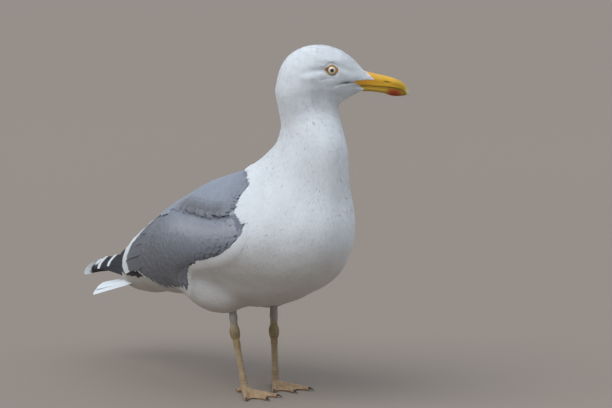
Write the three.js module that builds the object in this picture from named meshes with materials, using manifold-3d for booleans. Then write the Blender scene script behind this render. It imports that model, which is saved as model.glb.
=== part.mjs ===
// Adult herring gull (Larus argentatus), standing at rest with the wings folded
// and the head turned to its left. A still, life-size model.
// Millimetres. +Z up, the bird faces -Y, its left side is +X.
import * as THREE from 'three';
import Module from 'manifold-3d';

const wasm = await Module();
wasm.setup();

// ---------------------------------------------------------------- dimensions
const GAP = 0.3;                 // clearance between neighbouring pieces
const TAU = Math.PI * 2;
const rad = THREE.MathUtils.degToRad;

// flesh with its coat: ellipsoids on the midplane, y z of the centre, half-axes
// across, along and upright, and the pitch of the long axis in degrees
const CHEST  = { y: -52.9, z: 173.6, rx: 54.4, ry: 82.8, rz: 70.7, pitch: -7.1 };
const BARREL = { y: 6.3, z: 156.1, rx: 74.1, ry: 114.5, rz: 55.2, pitch: -7.2, blend: 26 };
const BELLY  = { y: 7.8, z: 120.3, rx: 40.7, ry: 71.9, rz: 35.8, pitch: -5.5, blend: 24 };
const BACK   = { y: 34.1, z: 172.3, rx: 47.2, ry: 45.0, rz: 34.8, pitch: -20.3, blend: 24 };
const FOLD   = { y: 79.0, z: 133.5, rx: 58.0, ry: 88.7, rz: 47.3, pitch: -14.5, blend: 28 };
const RUMP   = { y: 138.8, z: 124.1, rx: 41.1, ry: 101.9, rz: 37.4, pitch: -22.2, blend: 25 };
const THIGH  = { x: 29.8, y: 39.0, z: 98.9, rx: 18.6, ry: 43.1, rz: 21.9, pitch: 6.5, blend: 16 };
const NECK   = { low: [14.7, -59.9, 204.8], high: [6.5, -80.7, 280.7], rLow: 32.7, rHigh: 28.1, blend: 34 };
const THROAT = { c: [5.7, -96.5, 249.1], r: [28.6, 33.5, 40.0], blend: 16 };

// head frame: origin midway between the eyes, forward f, left l, up u
const EYE_MID = [22.0, -97.0, 336.0];
const HEAD_YAW = rad(52);        // turned to the bird's left
const HEAD_PITCH = rad(7);       // bill a little down
const CRANIUM = { f: -10.1, u: -7.4, rf: 37.9, rl: 21.2, ru: 28.2 };
const JOWL    = { f: -27.1, u: -27.6, rf: 26.4, rl: 24.8, ru: 31.9, blend: 12 };
const FACE    = { f0: 1.4, u0: -0.9, f1: 34.0, u1: -7.7, r0: 8.6, r1: 7.9, squash: 0.85, blend: 12 };
const JAW     = { f0: 23.4, u0: -17.5, f1: -3.0, u1: -28.0, r0: 5.8, r1: 14.2, squash: 1, blend: 8 };
const HEAD_BLEND = 14;
const EYE_RADIUS = 6.4, EYE_SIDE = 14.4, EYE_UP = -0.1, EYE_FWD = 0.9;

// wings
const WING_DEPTH = 9;            // folded wing, skin to feather surface
const PRIMARY_THICK = 2.8;
const WING_TIP_R = [-11.5, 288, 90], WING_TIP_L = [-5, 299, 81];   // the left one crosses under the right

// tail
const TAIL_ROOT_Y = 186, TAIL_END_Y = 257, TAIL_ROOT_HALF = 22, TAIL_END_HALF = 35;
const TAIL_ROOT_Z = 88.5, TAIL_END_Z = 66.8, TAIL_THICK_ROOT = 5.4, TAIL_THICK_END = 4.6, TAIL_ARCH = 3.0;

// legs
const ANKLE_R = [-24.5, 7.5, 59], ANKLE_L = [24.5, 10.4, 55];
const FOOT_R = [-24.5, -10.4, 5.5], FOOT_L = [26.3, 10.4, 5.5];
const HIP_R = [-25, 13.5, 96], HIP_L = [25, 12.0, 96];
const TOE = { middle: 47, inner: 40, outer: 44, hind: 9, spread: 25, rBase: 3.1, rTip: 2.0 };
const CLAW = { front: 9.5, hind: 5.5, r: 1.55 };
const HEADING_R = -7, HEADING_L = -11;    // degrees, positive towards the bird's left
const WEB_THICK = 1.5;

// splits between the named parts of the body
const SPLIT = { rumpY: 118, neckZ: 240, headZ: 299 };

// ---------------------------------------------------------------- small tools
const V = (x, y, z) => new THREE.Vector3(x, y, z);
const A = (v) => V(v[0], v[1], v[2]);
const lerp = THREE.MathUtils.lerp;
const smoothstep = (a, b, x) => { const t = Math.min(1, Math.max(0, (x - a) / (b - a))); return t * t * (3 - 2 * t); };

function headAxes() {
  const f = V(Math.sin(HEAD_YAW) * Math.cos(HEAD_PITCH), -Math.cos(HEAD_YAW) * Math.cos(HEAD_PITCH), -Math.sin(HEAD_PITCH));
  const l = V(Math.cos(HEAD_YAW), Math.sin(HEAD_YAW), 0);
  const u = new THREE.Vector3().crossVectors(f, l);
  return { f, l, u };
}
const HEAD = headAxes();
const headPoint = (f, l, u) => A(EYE_MID).addScaledVector(HEAD.f, f).addScaledVector(HEAD.l, l).addScaledVector(HEAD.u, u);

// ---------------------------------------------------------------- body field
function ellipsoid(qx, qy, qz, rx, ry, rz) {
  const k0 = Math.hypot(qx / rx, qy / ry, qz / rz);
  const k1 = Math.hypot(qx / (rx * rx), qy / (ry * ry), qz / (rz * rz));
  return k0 * (k0 - 1) / Math.max(k1, 1e-9);
}
function pitched(x, y, z, e) {           // ellipsoid on the midplane, pitched about X
  const c = Math.cos(rad(e.pitch)), s = Math.sin(rad(e.pitch));
  const dx = x - (e.x || 0), dy = y - e.y, dz = z - e.z;
  return ellipsoid(dx, c * dy + s * dz, -s * dy + c * dz, e.rx, e.ry, e.rz);
}
function cone(px, py, pz, a, b, ra, rb, squash = 1) {
  const bx = (b[0] - a[0]) / squash, by = b[1] - a[1], bz = b[2] - a[2];
  const dx = (px - a[0]) / squash, dy = py - a[1], dz = pz - a[2];
  const t = Math.min(1, Math.max(0, (dx * bx + dy * by + dz * bz) / (bx * bx + by * by + bz * bz)));
  return Math.hypot(dx - t * bx, dy - t * by, dz - t * bz) - (ra + (rb - ra) * t);
}
function blend(a, b, k) {
  const h = Math.max(k - Math.abs(a - b), 0) / k;
  return Math.min(a, b) - h * h * k * 0.25;
}
function body(x, y, z) {
  let d = pitched(x, y, z, CHEST);
  for (const e of [BARREL, BELLY, BACK, FOLD, RUMP]) d = blend(d, pitched(x, y, z, e), e.blend);
  d = blend(d, pitched(Math.abs(x), y, z, THIGH), THIGH.blend);
  let n = cone(x, y, z, NECK.low, NECK.high, NECK.rLow, NECK.rHigh);
  n = blend(n, ellipsoid(x - THROAT.c[0], y - THROAT.c[1], z - THROAT.c[2], ...THROAT.r), THROAT.blend);
  d = blend(d, n, NECK.blend);
  const px = x - EYE_MID[0], py = y - EYE_MID[1], pz = z - EYE_MID[2];
  const along = (a) => px * a.x + py * a.y + pz * a.z;
  const f = along(HEAD.f), l = along(HEAD.l), u = along(HEAD.u);
  let h = ellipsoid(f - CRANIUM.f, l, u - CRANIUM.u, CRANIUM.rf, CRANIUM.rl, CRANIUM.ru);
  h = blend(h, ellipsoid(f - JOWL.f, l, u - JOWL.u, JOWL.rf, JOWL.rl, JOWL.ru), JOWL.blend);
  h = blend(h, cone(f, l, u, [FACE.f0, 0, FACE.u0], [FACE.f1, 0, FACE.u1], FACE.r0, FACE.r1, FACE.squash), FACE.blend);
  h = blend(h, cone(f, l, u, [JAW.f0, 0, JAW.u0], [JAW.f1, 0, JAW.u1], JAW.r0, JAW.r1, JAW.squash), JAW.blend);
  return blend(d, h, HEAD_BLEND);
}

// ---------------------------------------------------------------- solids
// a closed skin over a row of rings; each end is closed to a point
function loft(rings, first, last) {
  const v = [], t = [], n = rings[0].length;
  for (const r of rings) for (const p of r) v.push(p.x, p.y, p.z);
  const c0 = v.length / 3; v.push(first.x, first.y, first.z);
  const c1 = v.length / 3; v.push(last.x, last.y, last.z);
  for (let i = 0; i + 1 < rings.length; i++) for (let j = 0; j < n; j++) {
    const a = i * n + j, b = i * n + (j + 1) % n, c = a + n, d = b + n;
    t.push(a, b, d, a, d, c);
  }
  for (let j = 0; j < n; j++) {
    t.push(c0, (j + 1) % n, j);
    const m = (rings.length - 1) * n; t.push(c1, m + j, m + (j + 1) % n);
  }
  return facingOut({ v, t });
}
function volume(m) {
  let s = 0; const { v, t } = m;
  for (let i = 0; i < t.length; i += 3) {
    const [a, b, c] = [t[i] * 3, t[i + 1] * 3, t[i + 2] * 3];
    s += v[a] * (v[b + 1] * v[c + 2] - v[b + 2] * v[c + 1]) - v[a + 1] * (v[b] * v[c + 2] - v[b + 2] * v[c]) + v[a + 2] * (v[b] * v[c + 1] - v[b + 1] * v[c]);
  }
  return s / 6;
}
function facingOut(m) {
  if (volume(m) < 0) for (let i = 0; i < m.t.length; i += 3) [m.t[i + 1], m.t[i + 2]] = [m.t[i + 2], m.t[i + 1]];
  return m;
}
const solid = (m) => new wasm.Manifold(new wasm.Mesh({ numProp: 3, vertProperties: new Float32Array(m.v), triVerts: new Uint32Array(m.t) }));
const mean = (r) => r.reduce((s, p) => s.add(p), V(0, 0, 0)).multiplyScalar(1 / r.length);
const capped = (rings) => solid(loft(rings, mean(rings[0]), mean(rings[rings.length - 1])));

// only the largest body of a cut solid is kept
function mainBody(man) {
  const g = man.getMesh(), vp = g.vertProperties, tv = g.triVerts, np = g.numProp;
  const root = Array.from({ length: vp.length / np }, (_, i) => i);
  const find = (i) => { while (root[i] !== i) i = root[i] = root[root[i]]; return i; };
  for (let i = 0; i < tv.length; i += 3) { root[find(tv[i])] = find(tv[i + 1]); root[find(tv[i + 1])] = find(tv[i + 2]); }
  const parts = new Map();
  for (let i = 0; i < tv.length; i += 3) { const r = find(tv[i]); if (!parts.has(r)) parts.set(r, []); parts.get(r).push(tv[i], tv[i + 1], tv[i + 2]); }
  let best = null, size = -1;
  for (const t of parts.values()) {
    const map = new Map(), v = [], tt = [];
    for (const i of t) { if (!map.has(i)) { map.set(i, v.length / 3); v.push(vp[i * np], vp[i * np + 1], vp[i * np + 2]); } tt.push(map.get(i)); }
    const m = { v, t: tt }, s = volume(m); if (s > size) { size = s; best = m; }
  }
  return best;
}

const group = new THREE.Group();
function addPart(name, man, color, roughness) {
  const m = mainBody(man), g = new THREE.BufferGeometry();
  g.setAttribute('position', new THREE.Float32BufferAttribute(m.v, 3)); g.setIndex(m.t);
  g.computeVertexNormals();
  const mesh = new THREE.Mesh(g, new THREE.MeshStandardMaterial({ color, roughness, metalness: 0 }));
  mesh.name = name; group.add(mesh); return mesh;
}

// ---------------------------------------------------------------- spine of the loft
// a straight back part, a quarter turn, then the neck rising into the head
const TURN = { y: 28, z: 272, r: 110, from: rad(15.3), to: rad(92) };
const SPINE_END = [0, 252, 96.5];
const CROWN = [13, -91.5, 366];
function spine() {
  const pts = [];
  const a0 = V(0, TURN.y - TURN.r * Math.sin(TURN.from), TURN.z - TURN.r * Math.cos(TURN.from));
  for (let i = 0; i < 12; i++) pts.push(A(SPINE_END).lerp(a0, i / 12));
  for (let i = 0; i <= 10; i++) { const a = lerp(TURN.from, TURN.to, i / 10); pts.push(V(8 * smoothstep(0.45, 1.3, i / 10), TURN.y - TURN.r * Math.sin(a), TURN.z - TURN.r * Math.cos(a))); }
  const b = pts[pts.length - 1].clone();
  for (let i = 1; i <= 6; i++) pts.push(b.clone().lerp(A(CROWN), i / 6));
  return new THREE.CatmullRomCurve3(pts, false, 'centripetal');
}
const SPINE = spine(), LEN = SPINE.getLength();
SPINE.arcLengthDivisions = 600; SPINE.updateArcLengths();

const RING_SIDES = 26, LOW_BUNCH = 0.38;    // sides are closer together below and in front
const known = new Map();
function ring(s, inset = 0) {
  const p = SPINE.getPointAt(s), t = SPINE.getTangentAt(s);
  const e1 = V(1, 0, 0).addScaledVector(t, -t.x).normalize(), e2 = new THREE.Vector3().crossVectors(e1, t).normalize();
  const out = [], key = s.toFixed(7), reach = known.get(key) || [];
  for (let j = 0; j < RING_SIDES; j++) {
    const q = TAU * j / RING_SIDES, a = q + LOW_BUNCH * Math.cos(q), dx = e1.clone().multiplyScalar(Math.cos(a)).addScaledVector(e2, Math.sin(a));
    const at = (r) => body(p.x + dx.x * r, p.y + dx.y * r, p.z + dx.z * r);
    if (reach.length <= j) {
      let r0 = 0, r1 = 1.5;
      while (at(r1) < 0 && r1 < 130) { r0 = r1; r1 += 3; }
      for (let k = 0; k < 16; k++) { const m = (r0 + r1) / 2; if (at(m) < 0) r0 = m; else r1 = m; }
      reach.push(r0);
    }
    out.push(p.clone().addScaledVector(dx, Math.max(0.3, reach[j] - inset)));
  }
  known.set(key, reach);
  return out;
}
function stationOf(test) {         // first place along the spine where the test holds
  let a = 0, b = 1;
  for (let k = 0; k < 40; k++) { const m = (a + b) / 2; if (test(SPINE.getPointAt(m))) b = m; else a = m; }
  return b;
}
function rings(s0, s1, step, inset = 0, bunch0 = false, bunch1 = false) {
  const n = Math.max(2, Math.round((s1 - s0) * LEN / step)), out = [];
  for (let i = 0; i <= n; i++) {
    let t = i / n;
    if (bunch0 && bunch1) t = t; else if (bunch0) t = 1 - Math.cos(t * Math.PI / 2); else if (bunch1) t = Math.sin(t * Math.PI / 2);
    out.push(ring(lerp(s0, s1, t), inset));
  }
  return out;
}
const outside = (p) => body(p.x, p.y, p.z) > 0;
const S_END = stationOf((p) => p.y < 150 || !outside(p)) + 0.0015, S_CROWN = stationOf((p) => p.z > 330 && outside(p)) - 0.0012;
const S_RUMP = stationOf((p) => p.y < SPLIT.rumpY);
const S_NECK = stationOf((p) => p.z > SPLIT.neckZ && p.y < 0);
const S_HEAD = stationOf((p) => p.z > SPLIT.headZ && p.y < 0);
const HALF = GAP / 2 / LEN;

const RING_STEP = 22.5;
const rumpAll  = capped(rings(S_END, S_RUMP - HALF, RING_STEP, 0, true));
const S_LEGS = stationOf((p) => p.y < -8);
const trunkRings = () => [...rings(S_RUMP + HALF, S_LEGS, 14), ...rings(S_LEGS, S_NECK - HALF, RING_STEP).slice(1)];
const trunkAll = capped(trunkRings());
const neckAll  = capped(rings(S_NECK + HALF, S_HEAD - HALF, 11));
const headAll  = capped(rings(S_HEAD + HALF, S_CROWN, 5.2, 0, false, true));

// ---------------------------------------------------------------- folded wings
// the side outline of the folded wing: shoulder, back edge over the scapulars
// and tertials, tertial tips, then the lower edge under the flank feathers
const WING_OUTLINE = [[-67, 178], [-52, 199], [12, 199], [72, 184], [128, 161], [178, 135], [222, 110], [240, 94],
  [226, 88], [178, 90], [129, 92.5], [90, 93.5], [62, 96], [49, 107], [40, 119], [20, 130], [-13, 139], [-40, 149], [-58, 164]];
function wingOutline(grow) {
  const c = new THREE.CatmullRomCurve3(WING_OUTLINE.map(([y, z]) => V(0, y, z)), true, 'centripetal');
  const n = 24, pts = [];
  for (let i = 0; i < n; i++) {
    const p = c.getPointAt(i / n), t = c.getTangentAt(i / n);
    pts.push(V(0, p.y + grow * -t.z, p.z + grow * t.y));   // outward for this turning sense
  }
  return pts;
}
function wingPrism(side, grow, inner) {
  const o = wingOutline(grow);
  return capped([o.map((p) => V(side * inner, p.y, p.z)), o.map((p) => V(side * 100, p.y, p.z))]);
}
const INNER_X = 6;
const wholeInset = (d) => capped([...rings(S_END + 0.01, S_RUMP, RING_STEP, d, true), ...rings(S_RUMP + 0.03, S_NECK + 0.06, RING_STEP, d)]);
const wholeOuter = capped([...rings(S_END, S_RUMP - HALF, RING_STEP, 0, true), ...trunkRings()]);
const coreWing = wholeInset(WING_DEPTH), coreBody = wholeInset(WING_DEPTH + GAP);

// projecting primaries: one pointed blade a side, roof-like, closing over the tail
function primaryBlade(side, grow) {
  const n = 8, out = [], right = side < 0, tip = right ? WING_TIP_R : WING_TIP_L;
  for (let i = 0; i <= n; i++) {
    const t = i / n, y = lerp(196, tip[1] - 1.5, t) + (i === n ? grow : 0) - (i === 0 ? grow : 0);
    const top = V(lerp(side * 9, tip[0] + (right ? 2 : -1.5), smoothstep(0.35, 1, t)), y, lerp(126, tip[2] + (right ? 3.5 : 10), Math.pow(t, 0.95)) - (right ? 2.5 : 8) * Math.pow(t, 7));
    const low = V(lerp(side * 31, tip[0] - side * -1, Math.pow(t, 1.3)), y, lerp(88, tip[2] - 1.2, Math.pow(t, 1.3)) - (right ? 2.4 : 2) * Math.sin(Math.PI * t));
    const mid = top.clone().lerp(low, 0.5), dir = low.clone().sub(top), h = dir.length() / 2; dir.normalize();
    const nor = V(dir.z, 0, -dir.x).multiplyScalar(side).normalize(); if (nor.x * side < 0) nor.negate();
    const th = PRIMARY_THICK / 2 * lerp(1, 0.55, t), ringPts = [];
    const prof = [[-1, 0.35], [-0.55, 1], [0, 1.25], [0.55, 1], [1, 0.35], [1, -0.35], [0.4, -0.9], [-0.4, -0.9], [-1, -0.35]];
    for (const [a, b] of prof) ringPts.push(mid.clone().addScaledVector(dir, a * (h + grow)).addScaledVector(nor, b * th + Math.sign(b) * grow + 1.6 * (1 - a * a) * (1 - t)));
    out.push(ringPts);
  }
  return capped(out);
}

// ---------------------------------------------------------------- tail
function tailSlab(grow) {
  const nu = 6, nv = 5, rows = [];
  for (let i = 0; i <= nv; i++) {
    const t = i / nv, half = lerp(TAIL_ROOT_HALF, TAIL_END_HALF, Math.pow(t, 0.9)) + grow;
    const th = lerp(TAIL_THICK_ROOT, TAIL_THICK_END, t) / 2 + grow, r = [];
    for (let j = 0; j <= nu; j++) { const w = lerp(-1, 1, j / nu); r.push([w, 1]); }
    for (let j = nu; j >= 0; j--) { const w = lerp(-1, 1, j / nu); r.push([w, -1]); }
    rows.push(r.map(([w, s]) => {
      const end = TAIL_END_Y - 5 * w * w, y = lerp(TAIL_ROOT_Y - grow, end + grow, t);
      const z = lerp(TAIL_ROOT_Z, TAIL_END_Z, (y - TAIL_ROOT_Y) / (TAIL_END_Y - TAIL_ROOT_Y)) + TAIL_ARCH * (1 - w * w);
      return V(w * half, y, z + s * th * (0.8 + 0.2 * (1 - w * w)));
    }));
  }
  return capped(rows);
}

// ---------------------------------------------------------------- bill, eyes
// stations: forward and up of the upper edge, of the lower edge, and the half-width
const BILL_UPPER = [[18, 1.1, 18, -11.6, 12.2], [25, 0.9, 25, -13.0, 11.3], [34, 0.3, 34, -13.1, 8.2], [43.6, -0.8, 43, -12.7, 6.0],
  [53.3, -1.6, 53, -12.1, 5.0], [62, -2.9, 61, -11.8, 4.4], [68.6, -4.7, 67.5, -12.2, 3.7], [72.6, -7, 71, -12.9, 3.1],
  [75.9, -10.3, 73.6, -14, 2.5], [78.1, -14.4, 76, -15.9, 1.8]];
const BILL_UPPER_TIP = [78.9, -18.8];
const BILL_LOWER = [[18, -13.5, 18, -19.8, 7.2], [26, -13.6, 26, -20.3, 8.2], [34, -13.4, 34, -19.8, 6.9], [43, -13.0, 41.5, -19.1, 5.3],
  [53, -12.4, 53.5, -19.2, 4.3], [62, -12.1, 63, -20.6, 3.5], [68.6, -12.8, 69.8, -20.0, 2.7], [73.4, -14.4, 74.2, -18.8, 1.7]];
const BILL_LOWER_TIP = [76.2, -17.2];
function billPart(stations, tip, grow, flatTop) {
  const sides = 12;
  const r = stations.map(([tf, tu, bf, bu, w]) => {
    const out = [];
    for (let j = 0; j < sides; j++) {
      const a = TAU * j / sides, c = Math.cos(a), s = Math.sin(a);
      const flat = (flatTop ? s > 0 : s < 0);                       // the biting side is the flatter one
      const cc = Math.sign(c) * Math.pow(Math.abs(c), flat ? 0.3 : 0.9), ss = Math.sign(s) * Math.pow(Math.abs(s), flat ? 0.3 : 0.95);
      const mf = (tf + bf) / 2, mu = (tu + bu) / 2, hf = (tf - bf) / 2, hu = (tu - bu) / 2, k = 1 + grow / Math.hypot(hf, hu);
      out.push(headPoint(mf + hf * ss * k, cc * (w + grow), mu + hu * ss * k));
    }
    return out;
  });
  return solid(loft(r, mean(r[0]), headPoint(tip[0] + grow, 0, tip[1] - grow)));
}
function ball(c, r, n = 8, m = 12) {
  const rr = [];
  for (let i = 1; i < n; i++) { const a = Math.PI * i / n, row = []; for (let j = 0; j < m; j++) { const b = TAU * j / m; row.push(V(c.x + r * Math.sin(a) * Math.cos(b), c.y + r * Math.sin(a) * Math.sin(b), c.z - r * Math.cos(a))); } rr.push(row); }
  return solid(loft(rr, V(c.x, c.y, c.z - r), V(c.x, c.y, c.z + r)));
}
const eyeBall = (side, grow) => ball(headPoint(EYE_FWD, side * EYE_SIDE, EYE_UP), EYE_RADIUS + grow, 7, 11);

// ---------------------------------------------------------------- legs
// a limb along a few stations: centre, half-width across and half-depth fore-aft
function limb(stations, sides = 11) {
  const pts = stations.map((s) => A(s.c)), r = [];
  for (let i = 0; i < pts.length; i++) {
    const t = pts[Math.min(i + 1, pts.length - 1)].clone().sub(pts[Math.max(i - 1, 0)]).normalize();
    const e1 = V(1, 0, 0).addScaledVector(t, -t.x).normalize(), e2 = new THREE.Vector3().crossVectors(t, e1);
    const row = [];
    for (let j = 0; j < sides; j++) { const a = TAU * j / sides; row.push(pts[i].clone().addScaledVector(e1, stations[i].w * Math.cos(a)).addScaledVector(e2, stations[i].d * Math.sin(a))); }
    r.push(row);
  }
  return capped(r);
}
function along(a, b, t) { return [lerp(a[0], b[0], t), lerp(a[1], b[1], t), lerp(a[2], b[2], t)]; }
function tibia(hip, ankle, grow) {
  const st = [[0, 5.2, 6.4], [0.35, 4.3, 5.2], [0.6, 3.6, 4.2], [0.8, 3.7, 4.2]];
  const top = along(ankle, hip, 0.1);
  return limb(st.map(([t, w, d]) => ({ c: along(hip, top, t / 0.8), w: w + grow, d: d + grow })));
}
function tarsus(ankle, foot, cut) {
  const st = [[-0.085, 3.4, 3.4], [-0.05, 4.5, 4.9], [0.0, 4.9, 5.6], [0.06, 4.4, 5.0], [0.14, 3.3, 3.9], [0.3, 2.8, 3.5], [0.55, 2.7, 3.4], [0.8, 2.9, 3.6], [1, 3.5, 4.0]];
  return limb(st.map(([t, w, d]) => ({ c: along(ankle, foot, Math.min(t, cut)), w, d })).filter((s, i, a) => i === 0 || s.c[2] !== a[i - 1].c[2]));
}
const ONE_TOE = 0.93;
function toeDir(heading) { const h = rad(heading); return V(Math.sin(h), -Math.cos(h), 0); }
function toe(foot, heading, length) {
  const d = toeDir(heading), st = [], n = 4;
  for (let i = 0; i <= n; i++) {
    const t = i / n, r = lerp(TOE.rBase, TOE.rTip, t) * (1 + 0.08 * Math.cos(t * TAU * 3));
    const p = V(foot[0], foot[1], 0).addScaledVector(d, lerp(-1, length, t));
    st.push({ c: [p.x, p.y, r * ONE_TOE + 0.9 * Math.pow(1 - t, 3)], r });
  }
  const rr = st.map(({ c, r }) => { const row = [], side = V(d.y, -d.x, 0); for (let j = 0; j < 6; j++) { const a = TAU * (j + 0.5) / 6; row.push(A(c).addScaledVector(side, r * Math.cos(a)).add(V(0, 0, r * Math.sin(a)))); } return row; });
  return capped(rr);
}
function claw(foot, heading, length, size, lift) {
  const d = toeDir(heading), side = V(d.y, -d.x, 0), rr = [], n = 4;
  const base = V(foot[0], foot[1], 0).addScaledVector(d, length + GAP);
  for (let i = 0; i < n; i++) {
    const t = i / n, r = CLAW.r * (1 - t * 0.8);
    const c = base.clone().addScaledVector(d, size * t); c.z = lift + 1.5 * Math.sin(t * Math.PI * 0.75) - t * t * (lift + 0.9) + r * 0.2;
    const row = []; for (let j = 0; j < 8; j++) { const a = TAU * j / 8; row.push(c.clone().addScaledVector(side, r * 0.8 * Math.cos(a)).add(V(0, 0, Math.max(r * Math.sin(a), 0.12 - c.z)))); }
    rr.push(row);
  }
  const tip = base.clone().addScaledVector(d, size); tip.z = 0.25;
  return solid(loft(rr, mean(rr[0]), tip));
}
function web(foot, h0, h1, l0, l1) {
  const n = 4, m = 2, c = V(foot[0], foot[1], 0), rr = [];
  // strips from toe to toe, scalloped in at the free edge
  for (let i = 0; i <= n; i++) {
    const a = i / n, d = toeDir(lerp(h0, h1, a)), reach = lerp(l0, l1, a) * (1 - 0.2 * Math.sin(Math.PI * a)) - 3, row = [];
    for (let j = 0; j <= m; j++) { const t = lerp(0.04, 1, j / m), p = c.clone().addScaledVector(d, reach * t); row.push([p, WEB_THICK * lerp(1.7, 1, t)]); }
    rr.push([...row.map(([p]) => V(p.x, p.y, 0)), ...row.reverse().map(([p, z]) => V(p.x, p.y, z))]);
  }
  return capped(rr);
}
const FLOOR_CUT = (() => { const s = 400; const lo = [V(-s, -s, -50), V(s, -s, -50), V(s, s, -50), V(-s, s, -50)]; return capped([lo, lo.map((p) => V(p.x, p.y, 0))]); })();
function foot(side, joint, heading) {
  const inner = heading - side * TOE.spread, outer = heading + side * TOE.spread;
  let f = toe(joint, heading, TOE.middle).add(toe(joint, inner, TOE.inner)).add(toe(joint, outer, TOE.outer));
  f = f.add(web(joint, heading, inner, TOE.middle, TOE.inner)).add(web(joint, heading, outer, TOE.middle, TOE.outer));
  f = f.add(ball(V(joint[0], joint[1], 3.6), 4.8, 6, 9));
  f = f.add(toe(joint, heading + 180 + side * -18, TOE.hind));
  return f.subtract(FLOOR_CUT);
}

// ---------------------------------------------------------------- assembly
const WHITE = 0xe9eaea, GREY = 0x8d9198, BLACK = 0x26272a, BILL = 0xd9a21b, LEG = 0xb09a72, CLAWC = 0x2c2723;
const blades = { R: primaryBlade(-1, 0), L: primaryBlade(1, 0) };
const bladeRoom = primaryBlade(-1, GAP).add(primaryBlade(1, GAP));
const tailRoom = tailSlab(GAP);

const wingRoom = {}, wings = {};
for (const [n, s] of [['R', -1], ['L', 1]]) {
  wings[n] = wholeOuter.intersect(wingPrism(s, 0, INNER_X)).subtract(coreWing).subtract(bladeRoom).subtract(tailRoom);
  wingRoom[n] = wingPrism(s, GAP, INNER_X - GAP).subtract(coreBody);
}
const rooms = wingRoom.R.add(wingRoom.L);
addPart('wing_R', wings.R, GREY, 0.8);
addPart('wing_L', wings.L, GREY, 0.8);
addPart('primaries_R', blades.R, BLACK, 0.6);
addPart('primaries_L', blades.L, BLACK, 0.6);
addPart('tail', tailSlab(0), WHITE, 0.8);

const shankRoom = tibia(HIP_R, ANKLE_R, GAP).add(tibia(HIP_L, ANKLE_L, GAP));
addPart('trunk', trunkAll.subtract(rooms).subtract(shankRoom), WHITE, 0.85);
addPart('rump', rumpAll.subtract(rooms).subtract(bladeRoom).subtract(tailRoom).subtract(shankRoom), WHITE, 0.85);
addPart('neck', neckAll, WHITE, 0.85);

const billRoom = billPart(BILL_UPPER, BILL_UPPER_TIP, GAP, false).add(billPart(BILL_LOWER, BILL_LOWER_TIP, GAP, true));
addPart('head', headAll.subtract(billRoom).subtract(eyeBall(1, GAP)).subtract(eyeBall(-1, GAP)), WHITE, 0.85);
addPart('bill_upper', billPart(BILL_UPPER, BILL_UPPER_TIP, 0, false), BILL, 0.4);
addPart('bill_lower', billPart(BILL_LOWER, BILL_LOWER_TIP, 0, true), BILL, 0.4);
addPart('eye_R', eyeBall(-1, 0), 0xe8dfae, 0.1);
addPart('eye_L', eyeBall(1, 0), 0xe8dfae, 0.1);

for (const [n, side, hip, ankle, joint, heading] of [['R', -1, HIP_R, ANKLE_R, FOOT_R, HEADING_R], ['L', 1, HIP_L, ANKLE_L, FOOT_L, HEADING_L]]) {
  const f = foot(side, joint, heading);
  const tar = tarsus(ankle, joint, 0.965);
  addPart('shank_' + n, tibia(hip, ankle, 0).subtract(tarsusRoom(ankle, joint)), LEG, 0.6);
  addPart('tarsus_' + n, tar.subtract(footRoom(joint)), LEG, 0.6);
  addPart('foot_' + n, f, LEG, 0.6);
  const toes = [['middle', heading, TOE.middle], ['inner', heading - side * TOE.spread, TOE.inner], ['outer', heading + side * TOE.spread, TOE.outer]];
  for (const [t, h, l] of toes) addPart(`claw_${n}_${t}`, claw(joint, h, l, CLAW.front, TOE.rTip * 0.9), CLAWC, 0.4);
  addPart(`claw_${n}_hind`, claw(joint, heading + 180 + side * -18, TOE.hind, CLAW.hind, TOE.rTip * 0.9), CLAWC, 0.4);
}
function tarsusRoom(ankle, joint) {
  const st = [[-0.085, 3.4, 3.4], [-0.05, 4.5, 4.9], [0.0, 4.9, 5.6], [0.06, 4.4, 5.0], [0.14, 3.3, 3.9]];
  return limb(st.map(([t, w, d], i) => ({ c: along(ankle, joint, i ? t : t - GAP / 55), w: w + GAP, d: d + GAP })));
}
function footRoom(joint) {
  return ball(V(joint[0], joint[1], 3.6), 4.8 + GAP, 6, 9);
}

// the origin sits under the middle of the whole bird, on the floor
const box = new THREE.Box3().setFromObject(group);
group.position.set(-(box.min.x + box.max.x) / 2, -(box.min.y + box.max.y) / 2, -box.min.z);

export default group;
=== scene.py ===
"""Adult herring gull, standing with its head turned to its left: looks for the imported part.

Lengths inside the script are millimetres in the bird's own frame (X to the bird's left, -Y forward, Z up).
to_row() turns them into metres in the row frame."""
import math
import time

import bpy
import numpy as np
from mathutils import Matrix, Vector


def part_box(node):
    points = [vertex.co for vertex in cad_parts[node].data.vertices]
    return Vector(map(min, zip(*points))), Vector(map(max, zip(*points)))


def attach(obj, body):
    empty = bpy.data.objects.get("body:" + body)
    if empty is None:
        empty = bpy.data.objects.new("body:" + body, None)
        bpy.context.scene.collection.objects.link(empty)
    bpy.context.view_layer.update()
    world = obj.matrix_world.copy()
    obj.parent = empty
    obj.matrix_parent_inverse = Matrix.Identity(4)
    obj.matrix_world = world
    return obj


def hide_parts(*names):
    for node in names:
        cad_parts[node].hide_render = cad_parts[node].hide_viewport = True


T0 = time.time()
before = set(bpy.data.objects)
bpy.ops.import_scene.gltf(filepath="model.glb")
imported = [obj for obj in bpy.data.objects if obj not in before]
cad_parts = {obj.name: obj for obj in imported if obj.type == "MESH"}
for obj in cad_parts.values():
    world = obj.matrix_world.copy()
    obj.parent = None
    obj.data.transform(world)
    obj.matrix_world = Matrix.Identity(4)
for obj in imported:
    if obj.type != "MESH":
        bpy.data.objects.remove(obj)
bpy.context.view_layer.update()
RNG = np.random.default_rng(20)


def say(*a):
    print("[gull %5.1fs]" % (time.time() - T0), *a, flush=True)


rad = math.radians

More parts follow.
